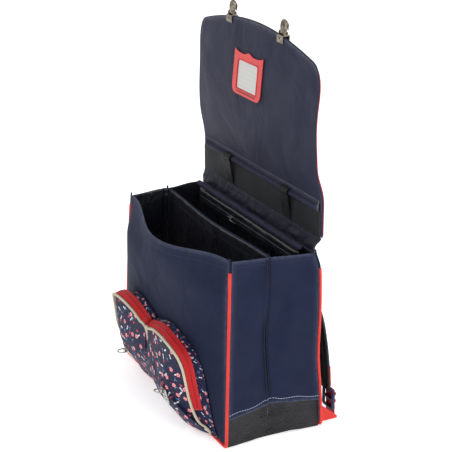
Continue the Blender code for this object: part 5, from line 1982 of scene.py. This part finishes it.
@dataclass
class Flap:
    """The raised flap: lining, printed cover, edges, band, roll, loops and label."""

    y: float = 0.0759
    bottom: float = 0.314
    top: float = 0.597
    half_width: float = 0.197
    corner_x: float = 0.025
    corner_z: float = 0.0486
    corner_power: float = 2.5
    arch: float = 0.031
    lean: float = 0.0074
    bow: float = 0.0153
    curl: float = 0.0104
    curl_z: float = 0.466
    curl_spread: float = 0.067
    ply_gap: float = 0.0008
    lean_top: float = 0.425
    cloth: float = 0.001
    webbing: float = 0.040
    webbing_wall: float = 0.0015
    rod: float = 0.0045
    flange: float = 0.0026
    band_half: float = 0.192
    loop_width: float = 0.025
    loop_x: float = 0.095
    loop_climb: float = 0.4
    side_rows: tuple = ((0.0, 0.985), (0.14, 0.985), (0.30, 0.990), (0.48, 1.012), (0.69, 0.995), (1.0, 0.995))

    @property
    def rod_z(self) -> float:
        """Height of the roll's middle."""
        return self.bottom + self.webbing + self.rod + FORM.gap

    @property
    def rod_top(self) -> float:
        """Height of the roll's top."""
        return self.rod_z + self.rod

    def width_at(self, z: float) -> float:
        """Half width of the flap below its corners."""
        return self.half_width * interpolate(self.side_rows, 1, (z - self.bottom) / (self.top - self.bottom))

    def edge(self, x: float) -> float:
        """Height of the flap's free edge, arched and with rounded corners.

        Args:
            x: Place across, in metres.

        Returns:
            The value.
        """
        share = min(abs(x) / self.half_width, 1.0)
        arch = self.top - self.arch * share * share
        start = 1 - self.corner_x / self.half_width
        if share < start:
            return arch
        part = (share - start) / (1 - start)
        power = self.corner_power
        return arch - self.corner_z * (1 - max(1 - part ** power, 0.0) ** (1 / power))

    def face(self, x: float, z: float) -> float:
        """Y of the lining's inner face.

        Args:
            x: Place across, in metres.
            z: Height, in metres.

        Returns:
            The value.
        """
        rise = smoothstep((z - self.rod_top) / (self.lean_top - self.rod_top))
        share = min(abs(x) / self.half_width, 1.0)
        climb = clamp((z - self.rod_top) / (self.top - self.rod_top))
        bow = self.bow * (1 - share * share) * math.sin(math.pi * climb)
        curl = self.curl * max(x / self.half_width, 0.0) ** 3 * bump((z - self.curl_z) / (2 * self.curl_spread))
        return self.y - self.lean * rise - bow - curl * smoothstep(climb * 5.0)

    def ply(self, depth: float, flip: bool, seed: float, loose: float) -> Place:
        """Outer face of one ply.

        Args:
            depth: How far behind the lining's face.
            flip: True for the printed side.
            seed: Shifts its small folds.
            loose: Height of its small folds.

        Returns:
            The place function.
        """

        def place(u: float, v: float) -> Vector:
            """The point at (u, v)."""
            across = math.sin((2 * u - 1) * math.pi / 2) * (-1 if flip else 1)
            x = across * self.half_width
            z = self.bottom + min(v * 8, 1.0) * (self.rod_top - self.bottom)
            z += max(v * 8 - 1, 0.0) / 7 * (self.edge(x) - self.rod_top)
            x = across * self.width_at(z)
            thickness = self.cloth if flip else 0.0
            free = smoothstep((z - self.rod_top) / 0.03) * smoothstep((1 - abs(across)) * 9) * smoothstep((1 - v) * 14)
            away = abs(ripple((x, 0.0, z * 0.5), 11.0, loose, seed)) + abs(ripple((x, 0.0, z), 32.0, loose / 4, seed))
            y = self.face(across * self.half_width, z) + depth + thickness
            return Vector((x, y + away * free * (1 if flip else -1), z))

        return place

    def rim_points(self, back: float, inset: float, hide: float = 0.0) -> list[Vector]:
        """Path round the flap's edge from foot to foot.

        Args:
            back: Distance behind the lining's face.
            inset: Distance inside the edge.
            hide: How much lower it runs along the top.

        Returns:
            The points.
        """
        points = []
        for share in shares(120):
            across = math.sin((2 * share - 1) * math.pi / 2)
            x = across * self.half_width
            z = self.edge(x) - inset - hide * smoothstep((1 - abs(across)) * 8)
            points.append(
                Vector((across * self.width_at(z) * (1 - inset / self.half_width), self.face(x, z) + back, z))
            )
        foot = []
        sides = 40
        for index in range(sides):
            z = self.bottom + 0.0025 + (points[0].z - self.bottom - 0.0025) * index / sides
            foot.append((self.width_at(z) - inset, z))
        left = [Vector((-x, self.face(-self.half_width, z) + back, z)) for x, z in foot]
        right = [Vector((x, self.face(self.half_width, z) + back, z)) for x, z in reversed(foot)]
        return spaced(left + points + right, 0.003)

    def build(self) -> None:
        """Makes and dresses the flap."""
        lining_place = self.ply(0.0, False, 8.0, 0.0016)
        lining = Cloth("flap_lining_cloth", 100, 88, self.cloth).build(lining_place, (Finishes.GREY_NAVY,))
        settle(lining, ["flap_lining"])
        cover_place = self.ply(self.cloth + self.ply_gap, True, 5.0, 0.0008)
        cover = Cloth("flap_cover_cloth", 100, 88, self.cloth).build(cover_place, (Finishes.PRINT,))
        settle(cover, ["flap_cover"])
        red = Cord("flap_piping_cord", 0.0009, 10).build(self.rim_points(0.0037, 0.0012, 0.004), Finishes.EDGE_RED)
        settle(red, ["flap_piping"])
        bound = Cord("flap_rim_binding", 0.0015, 10).build(self.rim_points(0.0014, 0.0004), Finishes.GREY_NAVY)
        settle(bound)
        self.band()
        self.tunnel()
        for side, sign in SIDES:
            self.loop(side, sign)
        self.label()

    def band(self) -> None:
        """Webbing band low on the flap, with its stitches."""

        def place(u: float, v: float) -> Vector:
            """Front face of the webbing band."""
            x = (2 * u - 1) * self.band_half
            z = self.bottom + v * self.webbing
            sway = ripple((x, 0.0, 0.0), 14.0, 0.0006, 1.0)
            return Vector((x, self.y - FORM.gap - self.webbing_wall + min(sway, 0.0), z))

        band = Cloth("flap_band_webbing", 110, 14, self.webbing_wall, 0.0015).build(place, (Finishes.WEBBING,))
        settle(band, ["flap_band"])
        rows = [along_face(place, (0.005, v), (0.995, v), 80, 0.0002) for v in (0.07, 0.93)]
        Row("band_stitches", RowKind.BAND_STITCH).lay(rows, Finishes.BLACK_THREAD)

    def tunnel(self) -> None:
        """Tunnel of flap cloth sewn round the roll."""

        def place(u: float, v: float) -> Vector:
            """Front face of the tunnel: flange, bulge, flange."""
            across = 2 * u - 1
            full = 0.05 + 0.95 * smoothstep((1 - abs(across)) * 18)
            x = across * (self.band_half - 0.004)
            shift = ripple((x, 0.0, 0.0), 22.0, 0.0008, 6.0)
            if v < 0.1:
                z = self.rod_z - self.rod - 0.0012 + 0.0012 * v / 0.1
                return Vector((x, self.y - self.flange, z + shift))
            if v < 0.75:
                angle = -math.pi / 2 + (v - 0.1) / 0.65 * math.pi
                y = self.y - self.flange - (self.rod + 0.0008) * math.cos(angle) * full
                return Vector((x, y, self.rod_z + self.rod * math.sin(angle) + shift))
            part = (v - 0.75) / 0.25
            y = self.y - self.flange + 0.0012 * smoothstep(part)
            return Vector((x, y, self.rod_top + 0.0065 * part + shift))

        tunnel = Cloth("flap_roll_tunnel", 120, 32, 0.0009, 0.0015).build(place, (Finishes.GREY_NAVY,))
        settle(tunnel, ["flap_roll"])
        rows = [along_face(place, (0.004, v), (0.996, v), 90, 0.0002) for v in (0.06, 0.80, 0.93)]
        Row("tunnel_stitches", RowKind.RAISED_STITCH).lay(rows, Finishes.BLACK_THREAD)

    def loop(self, side: str, sign: int) -> None:
        """Webbing that rises over the band and wraps the roll.

        Args:
            side: Name of the side.
            sign: 1 for the right loop, -1 for the left.
        """
        front = self.y - 2 * FORM.gap - self.webbing_wall
        radius = self.rod + FORM.gap + self.webbing_wall
        centre_y = self.y - FORM.gap - self.rod
        start_angle = math.radians(50.0)
        sweep = start_angle + math.radians(100.0)

        def place(u: float, v: float) -> Vector:
            """Outer face of the loop."""
            x = self.loop_x + (u - 0.5) * self.loop_width
            join_y = centre_y - radius * math.cos(start_angle)
            join_z = self.rod_z - radius * math.sin(start_angle)
            if v < self.loop_climb:
                part = v / self.loop_climb
                y = front - self.webbing_wall + (join_y - front + self.webbing_wall) * smoothstep(part)
                return Vector((x, y - 0.0004, self.bottom + 0.002 + part * (join_z - self.bottom - 0.002)))
            angle = -start_angle + (v - self.loop_climb) / (1 - self.loop_climb) * sweep
            reach = radius + 0.0004
            return Vector((x, centre_y - reach * math.cos(angle), self.rod_z + reach * math.sin(angle)))

        loop = Cloth(f"flap_loop_{side}_webbing", 16, 60, self.webbing_wall, 0.0015).build(
            place, (Finishes.LOOP,), sign
        )
        settle(loop, [f"flap_loop_{side}"])
        rows = [along_face(place, (0.08, v), (0.92, v), 10, 0.0002, sign) for v in (0.03, 0.09)]
        Row(f"flap_loop_{side}_stitches", RowKind.LOOP_STITCH).lay(rows, Finishes.BLACK_THREAD)

    def label(self) -> None:
        """Vinyl holder with a welded rim round its window, and the ruled card."""
        refined("label_holder", "vinyl", Finishes.VINYL, 0.0004, 3)
        card = frame["nodes"]["label_card"]
        card.data.materials.clear()
        card.data.materials.append(Finishes.of(Finishes.CARD))
        low, high = corners("label_card")
        lean = (high.y - low.y - 0.0004) / (high.z - low.z) * self.label_lean_sign()
        middle = (low + high) / 2

        def on_holder(x: float, up: float) -> Vector:
            """The point on the holder's front."""
            return Vector((x, middle.y - 0.0013 - up * lean, middle.z + up))

        rim = rounded_rectangle(high.x - low.x + 0.004, high.z - low.z + 0.004, 0.0045, 8)
        weld = Cord("label_window_weld", 0.0006, 8, True).build([on_holder(x, up) for x, up in rim], Finishes.VINYL)
        settle(weld)
        below = low.z - middle.z - 0.0048
        slit = [on_holder(low.x + (high.x - low.x) * share, below) for share in shares(12)]
        settle(Cord("label_pocket_slit", 0.0006, 8).build(slit, Finishes.SLIT))

    @staticmethod
    def label_lean_sign() -> int:
        """1 if the card leans back as it rises, -1 if it leans forward, read from its own corners.

        Returns:
            The sign.
        """
        mesh = frame["nodes"]["label_card"].data
        points = sorted((vert.co.copy() for vert in mesh.vertices), key=lambda point: point.z)
        half = len(points) // 2
        low = sum(point.y for point in points[:half]) / half
        high = sum(point.y for point in points[half:]) / (len(points) - half)
        return -1 if high > low else 1


@dataclass
class Hooks:
    """Metal brackets on the flap's edge and the levers that turn in them."""

    height: float = 0.0197
    thickness: float = 0.0055
    width: float = 0.0142
    pin: float = 0.0010
    pin_half: float = 0.0089
    slot_half: tuple = (0.0008, 0.0046)
    notch_half: float = 0.0015
    notch_up: float = 0.0066
    shape: tuple = (
        (-0.06, -0.48, 0.48, 0.98), (0.10, -0.54, 0.58, 1.00), (0.22, -0.64, 0.80, 1.00), (0.38, -0.68, 0.94, 1.00),
        (0.55, -0.66, 1.00, 1.00), (0.70, -0.58, 1.04, 0.96), (0.82, -0.42, 0.99, 0.85), (0.92, -0.18, 0.82, 0.65),
        (0.98, 0.06, 0.58, 0.38), (1.00, 0.18, 0.42, 0.14),
    )
    tip: tuple = (
        (0.80, 0.74, 0.20, 0.66), (1.04, 0.68, 0.20, 0.62), (1.22, 0.58, 0.18, 0.56), (1.34, 0.46, 0.14, 0.46),
        (1.38, 0.38, 0.07, 0.30),
    )

    def lever(self, side: str, axis: Vector) -> bpy.types.Object:
        """Bullet-shaped lever with its hooked tip, ridge, knuckle and pin.

        Args:
            side: Name of the side.
            axis: Point on its hinge line.

        Returns:
            The object.
        """
        body = []
        for share in shares(24):
            up = self.shape[0][0] + (self.shape[-1][0] - self.shape[0][0]) * (1 - (1 - share) ** 1.6)
            front, back, wide = [interpolate(self.shape, column, up) for column in (1, 2, 3)]
            centre = axis + Vector((0.0, (front + back) / 2 * self.thickness, up * self.height))
            half = (0.0, (back - front) / 2 * self.thickness, 0.0)
            body.append(section(centre, (wide * self.width / 2, 0.0, 0.0), half))
        tip = []
        for share in shares(12):
            place = self.tip[0][0] + (self.tip[-1][0] - self.tip[0][0]) * share
            up, thick, wide = [interpolate(self.tip, column, place) for column in (1, 2, 3)]
            ahead = interpolate(self.tip, 1, place + 0.05) - interpolate(self.tip, 1, place - 0.05)
            slope = Vector((0.0, 0.10 * self.thickness, ahead * self.height)).normalized()
            normal = Vector((0.0, -slope.z, slope.y))
            centre = axis + Vector((0.0, place * self.thickness, up * self.height))
            tip.append(section(centre, (wide * self.width / 2, 0.0, 0.0), normal * thick * self.thickness))
        ridge = []
        for share in shares(10):
            up = 0.08 + 0.80 * share
            front = interpolate(self.shape, 1, up)
            centre = axis + Vector((0.0, front * self.thickness, up * self.height))
            ridge.append(section(centre, (0.0007 + 0.0004 * (1 - share), 0.0, 0.0), (0.0, 0.0006, 0.0)))
        knuckle = []
        for x, size in ((-1.0, 0.9), (-0.95, 1.0), (0.95, 1.0), (1.0, 0.9)):
            radius = self.thickness / 2 * size
            centre = axis + Vector((x * self.width / 2, 0.0, 0.0))
            knuckle.append(section(centre, (0.0, radius, 0.0), (0.0, 0.0, radius)))
        ends = (axis - Vector((self.pin_half, 0.0, 0.0)), axis + Vector((self.pin_half, 0.0, 0.0)))
        pin = [section(end, (0.0, self.pin, 0.0), (0.0, 0.0, self.pin)) for end in ends]
        made = loft(f"hook_{side}_metal", (body, tip, ridge, knuckle, pin), Finishes.NICKEL, 0.85)
        made.data.set_sharp_from_angle(angle=math.radians(50))
        return made

    def build(self) -> None:
        """Softens the brackets' edges, shapes the levers, and puts dark solids as painted shade in each lever's slot
        and each bracket's notch.
        """
        for side, _ in SIDES:
            refined(f"hook_base_{side}", "metal", Finishes.NICKEL, 0.0007, 3)
            axis = hinge(f"hook_{side}_turn")
            settle(self.lever(side, axis), [f"hook_{side}"], f"hook_lever_{side}")
            # A dark solid in the lever's side slot: painted shade.
            gap = []
            for out in (0.90, 1.0):
                centre = axis + Vector((out * self.width / 2, 0.74 * self.thickness, 0.40 * self.height))
                gap.append(section(centre, (0.0, self.slot_half[0], 0.0), (0.0, 0.0, self.slot_half[1])))
            settle(loft(f"hook_slot_{side}", (gap,), Finishes.BLACK, 0.8), (), f"hook_lever_{side}")
            low, high = corners(f"hook_base_{side}")
            # A dark disc in the bracket's notch: painted shade.
            notch_shade = []
            for depth in (-0.0003, 0.00006):
                centre = Vector(((low.x + high.x) / 2, low.y - depth, low.z + self.notch_up))
                notch_shade.append(section(centre, (self.notch_half, 0.0, 0.0), (0.0, 0.0, self.notch_half)))
            settle(loft(f"hook_notch_{side}", (notch_shade,), Finishes.BLACK, 0.3))


@dataclass
class BackCarry:
    """Back pad, shoulder straps, their webbing, adjusters and tabs, and the handle."""

    pad_width: float = 0.300
    pad_thickness: float = 0.006
    pad_foot: float = 0.060
    pad_drop: float = 0.030
    strap_width: float = 0.055
    strap_foot_width: float = 0.040
    strap_wall: float = 0.009
    strap_top_x: float = 0.070
    strap_foot_x: float = 0.146
    strap_reach: float = 0.016
    strap_foot_z: float = 0.048
    tail_width: float = 0.025
    tail_wall: float = 0.0015
    adjuster_x: float = 0.160
    tab_x: float = 0.176
    handle_reach: float = 0.026
    handle_wall: float = 0.003
    handle_width: float = 0.024
    handle_half: float = 0.1075
    route: tuple = (
        (0.00, 0.16, 0.00), (0.20, 0.55, 0.30), (0.44, 0.88, 0.70), (0.60, 0.94, 0.86), (0.80, 1.00, 0.96),
        (1.00, 1.00, 1.00),
    )

    def pad_place(self, u: float, v: float) -> Vector:
        """Outer face of the pad before it swells."""
        z = self.pad_foot + v * (FORM.height - self.pad_drop - self.pad_foot)
        return Vector(((0.5 - u) * self.pad_width, FORM.back_face(z) + FORM.gap + self.pad_thickness - 0.0006, z))

    def strap_point(self, across: float, along: float) -> Vector:
        """Outer face of the right strap: 0 is its top and 1 its foot.

        Args:
            across: Share of the way across.
            along: Share of the way along.

        Returns:
            The point.
        """
        top_z = FORM.height - self.pad_drop - self.strap_wall
        z = top_z + along * (self.strap_foot_z - top_z)
        reach = self.strap_reach * interpolate(self.route, 1, along)
        way = interpolate(self.route, 2, along)
        width = self.strap_width + (self.strap_foot_width - self.strap_width) * smoothstep(along)
        x = self.strap_top_x + way * (self.strap_foot_x - self.strap_top_x) + across * width
        y = FORM.back_face(z) + self.pad_thickness + 2 * FORM.gap + self.strap_wall + reach
        return Vector((x, y, z))

    def build(self) -> None:
        """Makes and dresses everything behind the back panel."""
        pad = Cloth("back_pad_mesh", 40, 30, self.pad_thickness - 0.0012).build(self.pad_place, (Finishes.MESH,))
        Padding(0.0032, 4.0, 14, 0.0012, 0).swell(pad)
        for vert in pad.data.vertices:
            channel = bump((abs(vert.co.x) - 0.052) / 0.007) + bump(vert.co.x / 0.007)
            if vert.co.y > FORM.back_face(vert.co.z) + self.pad_thickness / 2:
                vert.co.y -= 0.0022 * min(channel, 1.0)
        settle(pad, ["back_pad"])
        edge = [Vector(((0.5 - u) * self.pad_width, FORM.back_face(z) + 0.003, z)) for u, z in self.pad_outline()]
        settle(Cord("back_pad_binding", 0.0024, 10, True).build(edge, Finishes.WEBBING))
        for side, sign in SIDES:
            self.strap(side, sign)
            self.strap_end(side, sign)
        self.handle()

    def pad_outline(self) -> list[tuple[float, float]]:
        """Way round the pad's rim as share across and height.

        Returns:
            The points.
        """
        low, high = self.pad_foot, FORM.height - self.pad_drop
        points = [(step / 40, low) for step in range(40)]
        points += [(1.0, low + (high - low) * step / 30) for step in range(30)]
        points += [(1 - step / 40, high) for step in range(40)]
        return points + [(0.0, high - (high - low) * step / 30) for step in range(30)]

    def strap(self, side: str, sign: int) -> None:
        """One padded strap, swollen, with a webbing spine stitched down its middle.

        Args:
            side: Name of the side.
            sign: 1 for the right strap, -1 for the left.
        """

        def place(u: float, v: float) -> Vector:
            """Outer face of the strap, drawn in at its rim."""
            point = self.strap_point((0.5 - u) * 0.97, 1 - v)
            point.y -= 0.0006
            return point

        strap = Cloth(f"shoulder_strap_{side}_pad", 14, 50, self.strap_wall - 0.0012).build(
            place, (Finishes.MESH,), sign
        )
        Padding(0.0045, 4.0, 16, 0.0014).swell(strap)
        settle(strap, [f"shoulder_strap_{side}"])
        rim = [self.strap_point(0.5, share) for share in shares(40)]
        rim += [self.strap_point(-0.5, 1 - share) for share in shares(40)]
        rim = [point + Vector((0.0, -self.strap_wall / 2, 0.0)) for point in rim]
        bound = Cord(f"strap_binding_{side}", 0.0022, 10, True).build(
            spaced(mirrored(rim, sign), 0.004), Finishes.WEBBING
        )
        settle(bound)

        def spine(u: float, v: float) -> Vector:
            """Outer face of the webbing down the strap's middle."""
            point = self.strap_point((0.5 - u) * 0.74, 1 - v * 0.98 - 0.01)
            point.y += 0.0022
            return point

        webbing = Cloth(f"strap_spine_{side}", 18, 50, 0.0012, 0.0012).build(spine, (Finishes.NAVY,), sign)
        settle(webbing)
        rows = [along_face(spine, (u, 0.01), (u, 0.99), 60, 0.0002, sign) for u in (0.12, 0.88)]
        Row(f"strap_stitches_{side}", RowKind.SEAM_STITCH).lay(rows, Finishes.RED_THREAD)
        for hand, u in (("outer", 0.0), ("inner", 1.0)):
            edge = [spine(u, index / 50) for index in range(9)]
            trim = Cord(f"strap_trim_{side}_{hand}", 0.0012, 8).build(mirrored(edge, sign), Finishes.EDGE_RED)
            settle(trim)

    def strap_end(self, side: str, sign: int) -> None:
        """Adjuster, webbing down to the tab, and the tab.

        Args:
            side: Name of the side.
            sign: 1 for the right strap, -1 for the left.
        """
        low, high = corners(f"strap_webbing_{side}")
        tail_y = high.y
        low_x = self.tab_x - 0.00125 - FORM.gap - self.tail_width / 2

        def tail(u: float, v: float) -> Vector:
            """Outer face of the webbing."""
            x = low_x + smoothstep(v) * (self.adjuster_x - low_x) + (0.5 - u) * self.tail_width
            return Vector((x, tail_y - 0.0004 * math.sin(v * 9.0) ** 2, low.z + v * (high.z - low.z)))

        webbing = Cloth(f"strap_webbing_{side}_tape", 14, 40, self.tail_wall, 0.0012).build(
            tail, (Finishes.ZIP_RED,), sign
        )
        settle(webbing, [f"strap_webbing_{side}"])
        frame_low, frame_high = corners(f"strap_adjuster_{side}")

        def fold(u: float, v: float) -> Vector:
            """Outer face of the webbing's end, folded back in two lobes over the adjuster."""
            x = self.adjuster_x + (0.5 - u) * (self.tail_width - 0.010)
            z = frame_high.z - 0.004 - (frame_high.z - frame_low.z - 0.010) * v
            return Vector((x, frame_high.y + 0.0010 + 0.0052 * abs(math.sin(math.tau * v)), z))

        lobes = Cloth(f"strap_fold_{side}_tape", 10, 48, 0.0012, 0.0012).build(fold, (Finishes.ZIP_RED,), sign)
        settle(lobes)
        refined(f"strap_adjuster_{side}", "moulding", Finishes.PLASTIC, 0.0007, 3)
        refined(f"strap_tab_{side}", "cloth", Finishes.EDGE_RED, 0.0006, 3)

    def handle(self) -> None:
        """Carrying handle of webbing on the printed side, stitched at both ends."""
        flap = Flap()

        def place(u: float, v: float) -> Vector:
            """Outer face of the handle."""
            across = 1 - 2 * u
            lift = self.handle_reach * smoothstep((1 - abs(across)) / 0.4)
            narrow = 1 - 0.22 * smoothstep((1 - abs(across)) / 0.5)
            z = flap.bottom + flap.webbing / 2 + (v - 0.5) * self.handle_width * narrow
            return Vector((across * self.handle_half, flap.y + 0.0028 + FORM.gap + self.handle_wall + lift, z))

        handle = Cloth("handle_webbing", 90, 14, self.handle_wall, 0.0015).build(place, (Finishes.WEBBING,))
        settle(handle, ["handle"])
        rows = [along_face(place, (u, 0.08), (u, 0.92), 10, 0.0002) for u in (0.02, 0.05, 0.08, 0.92, 0.95, 0.98)]
        Row("handle_stitches", RowKind.HANDLE_STITCH).lay(rows, Finishes.BLACK_THREAD)


@dataclass
class Studio:
    """Camera, pale floor and soft light."""

    azimuth: float = 63.314
    elevation: float = 20.098
    distance: float = 2.1858
    target: tuple = (0.0072, 0.0143, 0.2819)
    lens: float = 111.504

    def camera(self) -> None:
        """Places the camera where the photograph was taken from."""
        turn = math.radians(self.azimuth)
        rise = math.radians(self.elevation)
        back = Vector((math.sin(turn) * math.cos(rise), -math.cos(turn) * math.cos(rise), math.sin(rise)))
        right = Vector((math.cos(turn), math.sin(turn), 0.0))
        up = back.cross(right)
        data = bpy.data.cameras.new("photograph_view")
        data.sensor_width = 36.0
        data.lens = self.lens
        data.clip_end = 50.0
        camera = bpy.data.objects.new("photograph_view", data)
        place = Matrix((right, up, back)).transposed().to_4x4()
        place.translation = Vector(self.target) + back * self.distance
        camera.matrix_world = place
        bpy.context.scene.collection.objects.link(camera)
        bpy.context.scene.camera = camera

    def light(self, name: str, place: tuple, size: float, power: float) -> None:
        """Adds one soft area light that faces the ransel.

        Args:
            name: Its name.
            place: Where it stands.
            size: Side of its square.
            power: Its power in watts.
        """
        data = bpy.data.lights.new(name, "AREA")
        data.size = size
        data.energy = power
        lamp = bpy.data.objects.new(name, data)
        lamp.location = place
        direction = Vector((0.0, 0.0, 0.25)) - Vector(place)
        lamp.rotation_euler = direction.to_track_quat("-Z", "Y").to_euler()
        bpy.context.scene.collection.objects.link(lamp)

    def build(self) -> None:
        """Makes the camera, the floor, the world and the lights."""
        self.camera()
        mesh = bpy.data.meshes.new("floor")
        mesh.from_pydata([(-6, -6, 0), (6, -6, 0), (6, 6, 0), (-6, 6, 0)], [], [(0, 1, 2, 3)])
        floor = bpy.data.objects.new("floor", mesh)
        paper, tree, shader = start_material("pale_studio_paper", 0.9)
        white = (1.0, 1.0, 1.0, 1.0)
        tone = mixed(tree, clouds(tree, own_place(tree), 3.0, 2.0), linear("f6f6f6"), linear("fafafa"))
        feed(tree, shader, {"Base Color": tone, "Emission Color": white, "Emission Strength": 0.5})
        mesh.materials.append(paper)
        bpy.context.scene.collection.objects.link(floor)
        world = bpy.data.worlds.new("studio")
        world.use_nodes = True
        feed(world.node_tree, world.node_tree.nodes["Background"], {0: white, 1: 0.80})
        bpy.context.scene.world = world
        bpy.context.scene.view_settings.view_transform = "Standard"
        self.light("key", (1.2, -2.2, 2.4), 1.2, 7.0)
        self.light("fill", (2.6, 0.4, 1.4), 1.2, 16.0)
        self.light("top", (-0.6, 0.8, 2.8), 1.4, 12.0)


def main() -> None:
    """Builds every sub-assembly in order."""
    logging.basicConfig(level=logging.INFO, format="%(message)s")
    Studio().build()
    for assembly in (
        BaseBands(), BodyWalls(), Piping(), Pockets(), Catches(), Sleeve(), Flap(), Hooks(), BackCarry(),
    ):
        LOG.info("building %s", type(assembly).__name__)
        assembly.build()
    bpy.context.view_layer.update()


if __name__ == "__main__":
    main()
